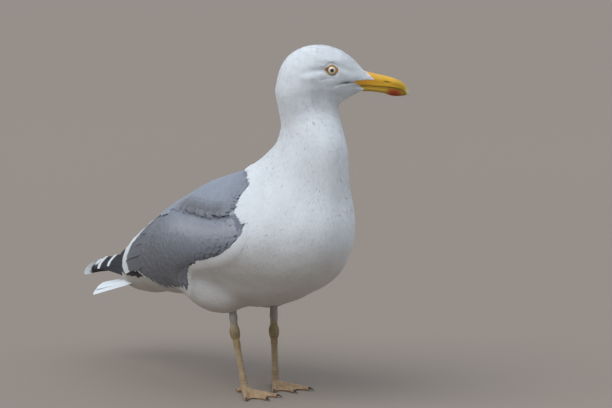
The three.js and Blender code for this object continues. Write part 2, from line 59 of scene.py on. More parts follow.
# ------------------------------------------------------------------ sizes of the bird
CHEST = dict(x=0, y=-52.9, z=173.6, r=(54.4, 82.8, 70.7), pitch=-7.1)
BARREL = dict(x=0, y=6.3, z=156.1, r=(74.1, 114.5, 55.2), pitch=-7.2, blend=26)
BELLY = dict(x=0, y=7.8, z=120.3, r=(40.7, 71.9, 35.8), pitch=-5.5, blend=24)
BACK = dict(x=0, y=34.1, z=172.3, r=(47.2, 45.0, 34.8), pitch=-20.3, blend=24)
FOLD = dict(x=0, y=79.0, z=133.5, r=(58.0, 88.7, 47.3), pitch=-14.5, blend=28)
RUMP = dict(x=0, y=138.8, z=124.1, r=(41.1, 101.9, 37.4), pitch=-22.2, blend=25)
THIGH = dict(x=29.8, y=39.0, z=98.9, r=(18.6, 43.1, 21.9), pitch=6.5, blend=16)
NECK_LOW, NECK_HIGH, NECK_R = (14.7, -59.9, 204.8), (6.5, -80.7, 280.7), (32.7, 28.1)
NECK_BLEND = 34
THROAT_C, THROAT_R, THROAT_BLEND = (5.7, -96.5, 249.1), (28.6, 33.5, 40.0), 16
EYE_MID = np.array([22.0, -97.0, 336.0])
HEAD_YAW, HEAD_PITCH = rad(52), rad(7)
CRANIUM = ((-10.1, 0, -7.4), (37.9, 21.2, 28.2))
JOWL, JOWL_BLEND = ((-27.1, 0, -27.6), (26.4, 24.8, 31.9)), 12
FACE_A, FACE_B, FACE_R, FACE_SQUASH, FACE_BLEND = (1.4, 0, -0.9), (34, 0, -7.7), (8.6, 7.9), 0.85, 12
JAW_A, JAW_B, JAW_R, JAW_BLEND = (23.4, 0, -17.5), (-3, 0, -28.0), (5.8, 14.2), 8
EYE_AT = (0.9, -0.1)               # middle of the eye, forward and up from the face's own mark
HEAD_BLEND = 14
EYE_R, EYE_SIDE = 6.4, 14.4
SPINE_END, CROWN = (0, 252, 96.5), (13, -91.5, 366)
TURN_Y, TURN_Z, TURN_R, TURN_FROM, TURN_TO = 28, 272, 110, rad(15.3), rad(92)

HF = np.array([math.sin(HEAD_YAW) * math.cos(HEAD_PITCH), -math.cos(HEAD_YAW) * math.cos(HEAD_PITCH), -math.sin(HEAD_PITCH)])
HL = np.array([math.cos(HEAD_YAW), math.sin(HEAD_YAW), 0.0])
HU = np.cross(HF, HL)


def head_point(f, l, u):
    f, l, u = (np.asarray(a, float)[..., None] for a in (f, l, u))
    return EYE_MID + f * HF + l * HL + u * HU


def head_coords(p):
    q = p - EYE_MID
    return q @ HF, q @ HL, q @ HU


# where the bird's own frame sits in the row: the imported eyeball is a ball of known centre
_lo, _hi = (np.array(c) * 1000 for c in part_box("eye_R"))
_eye = head_point(EYE_AT[0], -EYE_SIDE, EYE_AT[1])
SHIFT = np.array([_hi[0] - EYE_R * math.sin(3 * math.pi / 7) - _eye[0], (_lo[1] + _hi[1]) / 2 - _eye[1], (_lo[2] + _hi[2]) / 2 - _eye[2]])
say("row frame lies at", np.round(SHIFT, 3))


def to_row(p):
    return (np.asarray(p, float) + SHIFT) / 1000.0


# ------------------------------------------------------------------ small maths
def lerp(a, b, t):
    return a + (b - a) * t


def smooth(a, b, x):
    t = np.clip((np.asarray(x, float) - a) / (b - a), 0, 1)
    return t * t * (3 - 2 * t)


def unit(v):
    return v / np.maximum(np.linalg.norm(v, axis=-1, keepdims=True), 1e-9)


def dot(a, b):
    return (a * b).sum(-1)


def waves(p, scale, seed, n=5):
    """Soft bumps of about this size, from -1 to 1: a sum of crossing waves."""
    r = np.random.default_rng(seed)
    out = 0
    for _ in range(n):
        k = unit(r.normal(size=3)) * 2 * math.pi / (scale * r.uniform(0.8, 1.5))
        m = unit(r.normal(size=3)) * 2 * math.pi / (scale * r.uniform(1.2, 2.2))
        out = out + np.sin(p @ k + r.uniform(0, 6.28)) * np.cos(p @ m + r.uniform(0, 6.28))
    return out / n ** 0.5


# ------------------------------------------------------------------ body field, below 0 inside
def ellipsoid(x, y, z, r):
    a, b, c = x / r[0], y / r[1], z / r[2]
    k0 = np.sqrt(a * a + b * b + c * c)
    a, b, c = a / r[0], b / r[1], c / r[2]
    return k0 * (k0 - 1) / np.maximum(np.sqrt(a * a + b * b + c * c), 1e-9)


def pitched(x, y, z, e):
    c, s = math.cos(rad(e["pitch"])), math.sin(rad(e["pitch"]))
    dy, dz = y - e["y"], z - e["z"]
    return ellipsoid(x - e["x"], c * dy + s * dz, -s * dy + c * dz, e["r"])


def cone(x, y, z, a, b, ra, rb, squash=1.0):
    bx, by, bz = (b[0] - a[0]) / squash, b[1] - a[1], b[2] - a[2]
    dx, dy, dz = (x - a[0]) / squash, y - a[1], z - a[2]
    t = np.clip((dx * bx + dy * by + dz * bz) / (bx * bx + by * by + bz * bz), 0, 1)
    return np.sqrt((dx - t * bx) ** 2 + (dy - t * by) ** 2 + (dz - t * bz) ** 2) - (ra + (rb - ra) * t)


def blend(a, b, k):
    h = np.maximum(k - np.abs(a - b), 0) / k
    return np.minimum(a, b) - h * h * k * 0.25


def body(p):
    p = np.asarray(p, np.float32)
    x, y, z = p[..., 0], p[..., 1], p[..., 2]
    d = pitched(x, y, z, CHEST)
    for e in (BARREL, BELLY, BACK, FOLD, RUMP):
        d = blend(d, pitched(x, y, z, e), e["blend"])
    d = blend(d, pitched(np.abs(x), y, z, THIGH), THIGH["blend"])
    n = cone(x, y, z, NECK_LOW, NECK_HIGH, *NECK_R)
    n = blend(n, ellipsoid(x - THROAT_C[0], y - THROAT_C[1], z - THROAT_C[2], THROAT_R), THROAT_BLEND)
    d = blend(d, n, NECK_BLEND)
    q = p - EYE_MID.astype(np.float32)
    f, l, u = (q @ a.astype(np.float32) for a in (HF, HL, HU))
    h = ellipsoid(f - CRANIUM[0][0], l, u - CRANIUM[0][2], CRANIUM[1])
    h = blend(h, ellipsoid(f - JOWL[0][0], l, u - JOWL[0][2], JOWL[1]), JOWL_BLEND)
    h = blend(h, cone(f, l, u, FACE_A, FACE_B, *FACE_R, squash=FACE_SQUASH), FACE_BLEND)
    h = blend(h, cone(f, l, u, JAW_A, JAW_B, *JAW_R), JAW_BLEND)
    return blend(d, h, HEAD_BLEND)


def gradient(fn, p, h=0.5):
    g = np.empty(p.shape)
    for i in range(3):
        d = np.zeros(3)
        d[i] = h
        g[..., i] = (fn(p + d) - fn(p - d)) / (2 * h)
    return g


def settle(p, level, fn=body, rounds=2):
    """Moves points along the slope of the field until it has this level."""
    for _ in range(rounds):
        g = gradient(fn, p)
        p = p - g * np.clip((fn(p) - level) / np.maximum(dot(g, g), 0.05), -8, 8)[..., None]
    return p


# ------------------------------------------------------------------ spine: rear to crown
def make_spine():
    a0 = np.array([0, TURN_Y - TURN_R * math.sin(TURN_FROM), TURN_Z - TURN_R * math.cos(TURN_FROM)])
    pts = [lerp(np.array(SPINE_END, float), a0, i / 60) for i in range(60)]
    for i in range(61):
        a = lerp(TURN_FROM, TURN_TO, i / 60)
        pts.append(np.array([8 * float(smooth(0.45, 1.3, i / 60)), TURN_Y - TURN_R * math.sin(a), TURN_Z - TURN_R * math.cos(a)]))
    b = pts[-1]
    pts += [lerp(b, np.array(CROWN, float), i / 40) for i in range(1, 41)]
    pts = np.array(pts)
    pts = np.concatenate([pts, pts[-1:] + (pts[-1] - pts[-2]) * np.arange(1, 5)[:, None]])
    s = np.r_[0, np.cumsum(np.linalg.norm(np.diff(pts, axis=0), axis=1))]
    grid = np.arange(0, s[-1], 2.0)
    return np.stack([np.interp(grid, s, pts[:, i]) for i in range(3)], 1)


SPINE = make_spine()
TAN = unit(np.gradient(SPINE, axis=0))
for _ in range(3):
    TAN = unit(np.pad(TAN, ((1, 1), (0, 0)), "edge")[:-2] + 2 * TAN + np.pad(TAN, ((1, 1), (0, 0)), "edge")[2:])
LEFT = unit(np.array([1.0, 0, 0]) - TAN * TAN[:, :1])
UP = np.cross(TAN, LEFT)
SPINE_MM = 2.0 * (len(SPINE) - 1)


def station(p):
    """Place along the spine, in samples, of the cross plane that holds each point."""
    p = np.asarray(p, np.float32).reshape(-1, 3)
    out = np.empty(len(p))
    S, T = SPINE.astype(np.float32), TAN.astype(np.float32)
    st = (S * T).sum(1)
    for i in range(0, len(p), 20000):
        d = p[i:i + 20000] @ T.T - st
        near = np.abs(d)
        # the plane is only believed near its own stretch of the body
        far = ((p[i:i + 20000, None, :] - S[None, ::6]) ** 2).sum(2)
        near += 0.02 * np.repeat(far, 6, axis=1)[:, :len(S)] ** 0.5 * 10
        k = near.argmin(1)
        out[i:i + 20000] = k + np.clip(d[np.arange(len(k)), k] / 2.0, -1, 1)
    return out


def at_station(arr, k):
    k = np.clip(k, 0, len(arr) - 1.001)
    i = k.astype(int)
    return lerp(arr[i], arr[i + 1], (k - i)[:, None])


def unwrap(p):
    """Place of each point on an unwrap of the body: angle round the spine, and length along it."""
    k = station(p)
    c, l, u = at_station(SPINE, k), at_station(LEFT, k), at_station(UP, k)
    d = p - c
    a = np.arctan2(dot(d, l), dot(d, u))          # 0 above, +-pi below
    return 0.5 + a / (2 * math.pi), k / (len(SPINE) - 1), np.hypot(dot(d, l), dot(d, u))


def ray(k, angle, level=0.0, fn=body):
    """Surface point at a station (samples) in the direction at this angle from straight above, bird's left positive."""
    c, l, u = at_station(SPINE, k), at_station(LEFT, k), at_station(UP, k)
    d = l * np.sin(angle)[:, None] + u * np.cos(angle)[:, None]
    lo, hi = np.zeros(len(k)), np.full(len(k), 1.0)
    open_ = np.ones(len(k), bool)
    for _ in range(40):
        out = fn(c + d * hi[:, None]) > level
        lo = np.where(open_ & ~out, hi, lo)
        open_ &= ~out
        hi = np.where(open_, hi + 3.5, hi)
        if not open_.any():
            break
    for _ in range(14):
        m = (lo + hi) / 2
        out = fn(c + d * m[:, None]) > level
        hi, lo = np.where(out, m, hi), np.where(out, lo, m)
    return c + d * hi[:, None]


# ------------------------------------------------------------------ marks of the plumage
# edge of the grey mantle and wing on one side, from the back of the neck round to the rear end
GREY_EDGE = [(0, 4, 221), (10, 0, 223), (20, -9, 226), (30, -22, 227), (34.7, -29, 225.1), (38.8, -33.9, 222.1), (41, -37.6, 220.2), (43, -41.7, 218.4), (45, -45.4, 216),
             (47.4, -47.2, 212.5), (49.7, -46.8, 209), (52.6, -45.7, 204.6), (55.8, -46.6, 199.1), (58.7, -45.6, 194), (60.8, -43.6, 190.4), (61.4, -49, 187.6), (61.8, -58.5, 181.8),
             (60.7, -65.9, 178.6), (63.6, -61.2, 169.1), (65.4, -54.9, 160.4), (66.6, -45.9, 152.2), (67.1, -37.8, 147.1),
             (68.1, -24.9, 142.5), (68.5, -13, 138.9), (68.2, 1.7, 134.9), (66.4, 18.6, 130.5), (64.2, 29.9, 126.3), (61.4, 36.8, 121.6), (56.3, 46.1, 112.9), (53.1, 48.2, 105.2),
             (49.4, 56.4, 96.7), (41, 78, 91), (33, 100, 89), (31, 117, 88), (31.7, 125.5, 89.6), (34, 135, 90.6), (35.5, 146, 90.6), (35.5, 160, 90),
             (34, 182, 88.5), (31, 203, 87), (24, 225, 86), (12, 245, 86), (5, 252, 84)]
# lower edge of the shoulder feathers, front to rear
SCAP_EDGE = [(52, -62, 199), (58.3, -53.4, 192.9), (60.7, -48, 189.4), (62.9, -36.9, 187.2), (65, -20.3, 184.6), (65.7, 0.1, 182.5), (63.6, 22.8, 182.4), (59.4, 47, 181.4),
             (50.6, 72.5, 179.3), (31.4, 113.6, 172.7), (20, 135, 170), (8, 158, 163)]
# white band along the tips of the tertials, top to bottom, with its half-width
TIP_BAND = [(24.8, 131.1, 167.3, 2.6), (24.6, 145, 160.9, 3.0), (24.5, 161.6, 150.5, 3.4), (27.1, 171.7, 140.4, 3.8), (29.5, 180.8, 131.3, 4.8), (31, 189.1, 122.2, 7.0),
            (31, 199.3, 112.7, 12.0), (32, 202.7, 105.2, 12.0), (34.3, 189.6, 101.2, 5.0)]


def flat_map(p):
    """Angle and length as millimetres on a sheet, for distances between marks (both sides fold onto one)."""
    u, v, _ = unwrap(p)
    return np.stack([np.abs(u - 0.5) * 2 * math.pi * 62, v * SPINE_MM], 1)


_edge = settle(np.array([(x, y, z) for x, y, z in GREY_EDGE], float), 0, rounds=3)
GREY_LINE = flat_map(_edge)
SCAP_LINE = flat_map(settle(np.array(SCAP_EDGE, float), 0, rounds=3))
BAND_LINE = flat_map(settle(np.array(TIP_BAND, float)[:, :3], 0, rounds=3))


def polyline_distance(q, line):
    """Distance to a line, and which side: positive on the right of its direction."""
    best, side, where = np.full(len(q), 1e9), np.zeros(len(q)), np.zeros(len(q))
    seg = np.linalg.norm(np.diff(line, axis=0), axis=1)
    run = np.r_[0, np.cumsum(seg)]
    for i, (a, b) in enumerate(zip(line[:-1], line[1:])):
        d = b - a
        t = np.clip(((q - a) @ d) / (d @ d), 0, 1)
        e = q - a - t[:, None] * d
        dist = np.hypot(*e.T)
        s = d[0] * (q[:, 1] - a[1]) - d[1] * (q[:, 0] - a[0])
        near = dist < best - 1e-6
        best, side, where = np.where(near, dist, best), np.where(near, s, side), np.where(near, run[i] + t * seg[i], where)
    return best * np.sign(side), where


def inside_grey(q):
    """Signed distance into the grey: positive inside."""
    poly = np.concatenate([GREY_LINE, [[0, 0]], [[0, GREY_LINE[0, 1]]]])
    x, y = q.T
    odd = np.zeros(len(q), bool)
    for (x0, y0), (x1, y1) in zip(poly, np.roll(poly, -1, axis=0)):
        cross = ((y0 > y) != (y1 > y)) & (x < (x1 - x0) * (y - y0) / (y1 - y0 + 1e-12) + x0)
        odd ^= cross
    d, _ = polyline_distance(q, GREY_LINE)
    return np.where(odd, np.abs(d), -np.abs(d))


say("spine", len(SPINE), "grey line", np.round(GREY_LINE[[0, 8, 14, -1]], 0).tolist(), "scap", np.round(SCAP_LINE[[0, -1]], 0).tolist())

# ------------------------------------------------------------------ lines and hollows of the face, in head coordinates (f, u)
GAPE = np.array([(23.6, -10.6), (17.3, -11.4), (12.9, -12.4), (8.5, -13.9), (5.9, -15.3), (0.6, -17.6)])
BROW = np.array([(-6.2, -0.9), (-12.0, -2.2), (-19.8, -4.1), (-26.1, -6.4), (-32.2, -9.6)])
LORE = np.array([(7.4, 3.0), (15.7, 0.9), (24.0, -1.2)])
CHEEK = np.array([(-9.5, -11.6), (-4.5, -9.6), (0.5, -8.5), (4.5, -8.2)])
THROAT = np.array([(-16.0, -35.0), (-9.0, -37.4), (-3.0, -39.6), (4.0, -42.0), (12.0, -43.6)])
LID_F, LID_TOP, LID_LOW = 6.3, 6.1, 5.5            # half-lengths of the bare ring round the eye


def eye_oval(f, u):
    """1 on the edge of the bare ring, less inside it."""
    return np.sqrt(((f - EYE_AT[0]) / LID_F) ** 2 + ((u - EYE_AT[1]) / np.where(u > EYE_AT[1], LID_TOP, LID_LOW)) ** 2)


def line_dist(f, u, line):
    q = np.stack([f, u], -1)
    best, where = np.full(f.shape, 1e9), np.zeros(f.shape)
    for i, (a, b) in enumerate(zip(line[:-1], line[1:])):
        d = b - a
        t = np.clip(((q - a) @ d) / (d @ d), 0, 1)
        dist = np.hypot(*np.moveaxis(q - a - t[..., None] * d, -1, 0))
        near = dist < best
        best, where = np.where(near, dist, best), np.where(near, (i + t) / (len(line) - 1), where)
    return best, where


def face_relief(f, l, u):
    """How far the face is pressed in (mm, positive inward) by its creases and the eye's hollow."""
    side = smooth(4, 9, np.abs(l))
    d, w = line_dist(f, u, GAPE)
    out = 1.9 * np.exp(-(d / lerp(1.1, 2.4, w)) ** 2) * lerp(1.0, 0.12, smooth(0.35, 1.0, w))
    d, w = line_dist(f, u, BROW)
    out = out + lerp(1.7, 0.25, smooth(0.05, 1.0, w)) * np.exp(-(d / lerp(2.0, 4.8, w)) ** 2)
    d, w = line_dist(f, u, LORE)
    out = out + 1.1 * np.exp(-(d / 3.2) ** 2) * lerp(1, 0.5, w)
    d, w = line_dist(f, u, CHEEK)
    out = out + 0.35 * np.exp(-(d / 1.2) ** 2)
    e = eye_oval(f, u)
    out = out + 0.6 * np.exp(-(np.maximum(e - 0.9, 0) / 0.35) ** 2)
    # the jaw under the gape swells a little, and a fold parts it from the throat
    out = out - 0.7 * np.exp(-(((f - 6) / 10) ** 2 + ((u + 21.5) / 5.0) ** 2))
    d, w = line_dist(f, u, THROAT)
    throat = 2.7 * np.exp(-(d / 2.3) ** 2) * smooth(-15, 0, f) + 0.0 * w
    d, w = line_dist(f, u, THROAT - [0, 6.5])
    throat = throat - 1.2 * np.exp(-(d / 4.2) ** 2) * smooth(-15, 0, f)
    # brow above the eye, cheek behind and below it
    out = out - 0.9 * np.exp(-(((f + 1) / 12) ** 2 + ((u - 8.6) / 3.4) ** 2))
    out = out - 0.9 * np.exp(-(((f + 20) / 9) ** 2 + ((u + 10.5) / 4.5) ** 2))
    return out * side + throat


def face_shade(f, l, u):
    """Painted shade: the plumage's colour is made a little darker down in the folds and creases of the face, where
    shade falls.
    """
    side = smooth(4, 9, np.abs(l))
    out = np.zeros(f.shape)
    for line, dark, w0, w1 in ((GAPE, 0.80, 0.60, 0.8), (BROW, 0.10, 1.6, 3.4), (LORE, 0.07, 2.2, 2.6), (CHEEK, 0.07, 0.9, 1.2), (THROAT[::-1], 0.24, 2.4, 3.0)):
        d, w = line_dist(f, u, line)
        out = out + dark * lerp(1.0, 0.12, smooth(0.25 if line is GAPE else 0.0, 1.0, w)) * np.exp(-(d / lerp(w0, w1, w)) ** 2)
    return 1 - np.clip(out, 0, 0.75) * side


def coat_depth(p):
    """Thickness of the plumage over the skin."""
    f, l, u = head_coords(p)
    z = p[..., 2]
    y = p[..., 1]
    d = lerp(2.8, 2.1, smooth(150, 215, z))
    d = lerp(d, 1.8, smooth(286, 318, z))
    d = lerp(d, 1.3, smooth(0, 24, f) * smooth(290, 310, z))
    near_eye = np.exp(-((f / 11) ** 2 + (u / 9) ** 2)) * smooth(290, 310, z)
    d = lerp(d, 1.1, near_eye)
    return d + 1.4 * smooth(-50, 0, y) * smooth(100, 125, z) * smooth(235, 215, z)


def level_of_coat(p):
    """Field level that the tips of the plumage reach: folds and creases in the white feathering."""
    f, l, u = head_coords(p)
    head = smooth(296, 316, p[..., 2])
    out = -0.25 - 0.0 * head
    out = out - face_relief(f, l, u) * head
    k = 1 - head
    out = out + k * (0.55 * waves(p * np.array([1, 1, 0.55]), 34, 5) + 0.14 * waves(p * np.array([1, 1, 0.6]), 15, 6) - 0.3)
    lip = p[..., 2] < 230
    if np.any(lip):
        add = np.zeros(p.shape[:-1])
        q = p[lip]
        d = inside_grey(flat_map(q))
        low = smooth(-75, -50, q[:, 1]) * smooth(78, 52, q[:, 1]) * smooth(184, 172, q[:, 2])
        add[lip] = (0.15 + 0.9 * low) * np.exp(-((d + 5) / 5.5) ** 2)
        out = out + add
    return out + 0.10 * waves(p, 9, 9) * head


def skin_level(p):
    return body(p) + coat_depth(p) + 0.6 * face_relief(*head_coords(p)) * smooth(300, 316, p[..., 2])


# ------------------------------------------------------------------ surface nets: a mesh of where a field is 0
def surface_nets(fn, xs, ys, zs):
    nx, ny, nz = len(xs), len(ys), len(zs)
    V = np.empty((nx, ny, nz), np.float32)
    yz = np.stack(np.meshgrid(ys, zs, indexing="ij"), -1).reshape(-1, 2)
    step = max(1, 400000 // len(yz))
    for i in range(0, nx, step):
        xx = xs[i:i + step]
        q = np.concatenate([np.repeat(xx, len(yz))[:, None], np.tile(yz, (len(xx), 1))], 1)
        V[i:i + step] = fn(q).reshape(len(xx), ny, nz)
    inside = V < 0
    n = np.zeros((nx - 1, ny - 1, nz - 1), np.int8)
    for a in (0, 1):
        for b in (0, 1):
            for c in (0, 1):
                n += inside[a:nx - 1 + a, b:ny - 1 + b, c:nz - 1 + c]
    ci, cj, ck = np.nonzero((n > 0) & (n < 8))
    index = np.full(n.shape, -1, np.int64)
    index[ci, cj, ck] = np.arange(len(ci))
    total, count = np.zeros((len(ci), 3)), np.zeros(len(ci))
    for axis in range(3):
        o = [d for d in range(3) if d != axis]
        for a in (0, 1):
            for b in (0, 1):
                lo = [ci.copy(), cj.copy(), ck.copy()]
                lo[o[0]] += a
                lo[o[1]] += b
                hi = [x.copy() for x in lo]
                hi[axis] += 1
                v0, v1 = V[tuple(lo)].astype(float), V[tuple(hi)].astype(float)
                m = (v0 < 0) != (v1 < 0)
                t = np.where(m, v0 / np.where(m, v0 - v1, 1), 0)
                p0 = np.stack([xs[lo[0]], ys[lo[1]], zs[lo[2]]], 1)
                p1 = np.stack([xs[hi[0]], ys[hi[1]], zs[hi[2]]], 1)
                total += np.where(m[:, None], p0 + (p1 - p0) * t[:, None], 0)
                count += m
    verts = total / count[:, None]
    quads = []
    for axis in range(3):
        o = [(axis + 1) % 3, (axis + 2) % 3]
        lo = [slice(0, None)] * 3
        hi = [slice(0, None)] * 3
        lo[axis], hi[axis] = slice(0, -1), slice(1, None)
        cross = inside[tuple(lo)] != inside[tuple(hi)]
        i, j, k = np.nonzero(cross)
        e = [i, j, k]
        ok = (e[o[0]] > 0) & (e[o[0]] < n.shape[o[0]]) & (e[o[1]] > 0) & (e[o[1]] < n.shape[o[1]])
        e = [x[ok] for x in e]
        flip = inside[tuple(e)]
        def cell(da, db):
            c = [x.copy() for x in e]
            c[o[0]] += da
            c[o[1]] += db
            return index[tuple(c)]
        q = np.stack([cell(-1, -1), cell(0, -1), cell(0, 0), cell(-1, 0)], 1)
        q[~flip] = q[~flip][:, ::-1]
        quads.append(q)
    return verts, np.concatenate(quads)


# ------------------------------------------------------------------ Blender meshes
def mesh_object(name, verts, faces, material=None, uv=None, bake_uv=None, tint=None, normals=None, floats=None, smooth_faces=True, mats=None, face_mat=None):
    """faces: a list of arrays of quads or triangles (index rows). uv and bake_uv: one place per vertex, or per corner if longer."""
    me = bpy.data.meshes.new(name)
    faces = [np.asarray(f, np.int64) for f in (faces if isinstance(faces, (list, tuple)) else [faces]) if len(f)]
    loops = np.concatenate([f.ravel() for f in faces])
    total = np.concatenate([np.full(len(f), f.shape[1]) for f in faces])
    me.vertices.add(len(verts))
    me.vertices.foreach_set("co", to_row(verts).astype(np.float32).ravel())
    me.loops.add(len(loops))
    me.loops.foreach_set("vertex_index", loops.astype(np.int32))
    me.polygons.add(len(total))
    me.polygons.foreach_set("loop_start", np.r_[0, np.cumsum(total)[:-1]].astype(np.int32))
    me.polygons.foreach_set("loop_total", total.astype(np.int32))
    me.update(calc_edges=True)
    for label, w in (("UVMap", uv), ("OFBake", bake_uv)):
        if w is not None:
            layer = me.uv_layers.new(name=label)
            w = np.asarray(w, np.float32)
            layer.uv.foreach_set("vector", (w[loops] if len(w) == len(verts) else w).ravel())
    if tint is not None:
        c = np.ones((len(verts), 4), np.float32)
        c[:, :3] = tint
        me.attributes.new("tint", "FLOAT_COLOR", "POINT").data.foreach_set("color", c.ravel())
    for k, v in (floats or {}).items():
        me.attributes.new(k, "FLOAT", "POINT").data.foreach_set("value", np.asarray(v, np.float32))
    if smooth_faces:
        me.polygons.foreach_set("use_smooth", np.ones(len(total), bool))
    for m in (mats or ([material] if material else [])):
        me.materials.append(m)
    if face_mat is not None:
        me.polygons.foreach_set("material_index", np.asarray(face_mat, np.int32))
    if normals is not None:
        me.normals_split_custom_set_from_vertices(unit(normals).astype(np.float32))
    me.update()
    ob = bpy.data.objects.new(name, me)
    bpy.context.scene.collection.objects.link(ob)
    return ob


# ------------------------------------------------------------------ materials
class Nodes:
    """Short hand for building a node material."""

    def __init__(self, name, **sockets):
        self.m = bpy.data.materials.new(name)
        self.m.use_nodes = True
        self.t = self.m.node_tree
        self.b = self.t.nodes["Principled BSDF"]
        for k, v in sockets.items():
            self.b.inputs[k.replace("_", " ")].default_value = v

    def add(self, kind, **props):
        n = self.t.nodes.new(kind)
        for k, v in props.items():
            setattr(n, k, v)
        return n

    def link(self, a, b):
        self.t.links.new(a, b)

    def put(self, node, **vals):
        for k, v in vals.items():
            s = node.inputs[k.replace("_", " ")] if not k[0] == "i" or not k[1:].isdigit() else node.inputs[int(k[1:])]
            if hasattr(v, "is_linked"):
                self.link(v, s)
            else:
                s.default_value = v
        return node

    def attr(self, name, out="Color"):
        return self.add("ShaderNodeAttribute", attribute_name=name).outputs[out]

    def noise(self, scale, detail=3, rough=0.5, vector=None, distortion=0.0):
        n = self.add("ShaderNodeTexNoise")
        self.put(n, Scale=scale, Detail=detail, Roughness=rough, Distortion=distortion)
        if vector is not None:
            self.link(vector, n.inputs["Vector"])
        return n.outputs["Fac"]

    def math(self, op, a, b=None, clamp=False):
        n = self.add("ShaderNodeMath", operation=op, use_clamp=clamp)
        self.put(n, i0=a)
        if b is not None:
            self.put(n, i1=b)
        return n.outputs[0]

    def mix(self, fac, a, b, mode="MIX"):
        n = self.add("ShaderNodeMix", data_type="RGBA", blend_type=mode)
        for s, v in ((n.inputs[0], fac), (n.inputs[6], a), (n.inputs[7], b)):
            if hasattr(v, "is_linked"):
                self.link(v, s)
            else:
                s.default_value = v if not isinstance(v, tuple) or len(v) == 4 else (*v, 1)
        return n.outputs[2]

    def ramp(self, fac, *stops, mode="LINEAR"):
        n = self.add("ShaderNodeValToRGB")
        n.color_ramp.interpolation = mode
        while len(n.color_ramp.elements) < len(stops):
            n.color_ramp.elements.new(0.5)
        for e, (pos, col) in zip(n.color_ramp.elements, stops):
            e.position = pos
            e.color = (*col, 1) if len(col) == 3 else col
        self.link(fac, n.inputs[0])
        return n.outputs[0]

    def bump(self, height, distance, strength=1.0, normal=None):
        n = self.add("ShaderNodeBump")
        self.put(n, Distance=distance, Strength=strength, Height=height)
        if normal is not None:
            self.link(normal, n.inputs["Normal"])
        return n.outputs[0]

    def object_place(self):
        return self.add("ShaderNodeTexCoord").outputs["Object"]

    def uv(self, name):
        return self.add("ShaderNodeUVMap", uv_map=name).outputs[0]

    def done(self, color=None, rough=None, normal=None):
        for k, v in (("Base Color", color), ("Roughness", rough), ("Normal", normal)):
            if v is not None:
                self.link(v, self.b.inputs[k])
        return self.m


def hexa(h):
    c = [int(h[i:i + 2], 16) / 255 for i in (0, 2, 4)]
    return np.array([x / 12.92 if x <= 0.04045 else ((x + 0.055) / 1.055) ** 2.4 for x in c])


def feather_material(name, sheen, rough, barb=0.5):
    """Vanes and tufts: colour from the tint attribute (the plumage's own marks, with painted light and shade on the
    face, the undersides and the wing), a little uneven, with fine barbs slanting off the shaft.
    """
    n = Nodes(name, Roughness=rough, Specular_IOR_Level=0.3, Sheen_Weight=sheen, Sheen_Roughness=0.5)
    place = n.object_place()
    grain = n.noise(900, 4, 0.6, place)
    soft = n.noise(60, 3, 0.5, place)
    shade = n.math("ADD", 0.93, n.math("MULTIPLY", soft, 0.14))
    dim = n.add("ShaderNodeVectorMath", operation="SCALE")
    n.link(n.attr("tint"), dim.inputs[0])
    n.link(shade, dim.inputs["Scale"])
    sep = n.add("ShaderNodeSeparateXYZ")
    n.link(n.uv("UVMap"), sep.inputs[0])
    across = n.math("ABSOLUTE", n.math("SUBTRACT", sep.outputs[0], 0.5))
    slant = n.math("ADD", n.math("MULTIPLY", sep.outputs[1], 26.0), n.math("MULTIPLY", across, -14.0))
    stripe = n.math("SINE", n.math("MULTIPLY", slant, 6.283))
    h = n.math("ADD", n.math("MULTIPLY", stripe, barb), grain)
    return n.done(dim.outputs[0], None, n.bump(h, 0.00012, 0.5))

# ------------------------------------------------------------------ colours, as seen in soft daylight
WHITE = np.array([0.772, 0.815, 0.850])
GREY = hexa("8e95a2")
GREY_PALE = hexa("a4a8b0")
GREY_DARK = hexa("6d6f76")
BLACK = hexa("232327")
SKIN_UNDER = np.array([0.62, 0.60, 0.58])
YELLOW, ORANGE, RED, OLIVE, PALE_TIP = hexa("e0ad2c"), hexa("e6a030"), hexa("98300e"), hexa("a88c24"), hexa("d2d69a")
HORN_DARK = hexa("3a2c1c")
LEG_TAN, LEG_PINK, LEG_OLIVE, LEG_DARK = hexa("b59d7c"), hexa("b0926f"), hexa("a8935c"), hexa("6f6356")

M_WHITE = feather_material("plumage_white", 0.25, 0.72, 0.15)
M_VANE = feather_material("plumage_vane", 0.12, 0.62, 0.8)
M_FLIGHT = feather_material("flight_feather", 0.05, 0.5, 0.9)


def skin_material():
    n = Nodes("skin_under_plumage", Roughness=0.8, Specular_IOR_Level=0.25)
    place = n.object_place()
    pores = n.noise(700, 4, 0.6, place)
    dim = n.add("ShaderNodeVectorMath", operation="SCALE")
    n.link(n.attr("tint"), dim.inputs[0])
    n.link(n.math("ADD", 0.86, n.math("MULTIPLY", pores, 0.22)), dim.inputs["Scale"])
    return n.done(dim.outputs[0], None, n.bump(pores, 0.0003, 0.6))


def leg_material():
    n = Nodes("leg_skin_scales", Specular_IOR_Level=0.4)
    place = n.object_place()
    v = n.add("ShaderNodeTexVoronoi", feature="DISTANCE_TO_EDGE")
    n.put(v, Scale=900.0, Vector=place)
    edge = n.math("MULTIPLY", v.outputs[0], 9.0, clamp=True)
    wear = n.noise(260, 4, 0.6, place)
    fine = n.noise(2400, 3, 0.6, place)
    dim = n.add("ShaderNodeVectorMath", operation="SCALE")
    n.link(n.attr("tint"), dim.inputs[0])
    n.link(n.math("MULTIPLY", n.math("ADD", 0.72, n.math("MULTIPLY", wear, 0.5)), n.math("ADD", 0.82, n.math("MULTIPLY", edge, 0.18))), dim.inputs["Scale"])
    h = n.math("ADD", n.math("MULTIPLY", edge, 0.6), n.math("MULTIPLY", fine, 0.3))
    return n.done(dim.outputs[0], n.math("ADD", 0.42, n.math("MULTIPLY", wear, 0.22)), n.bump(h, 0.00022, 0.7))


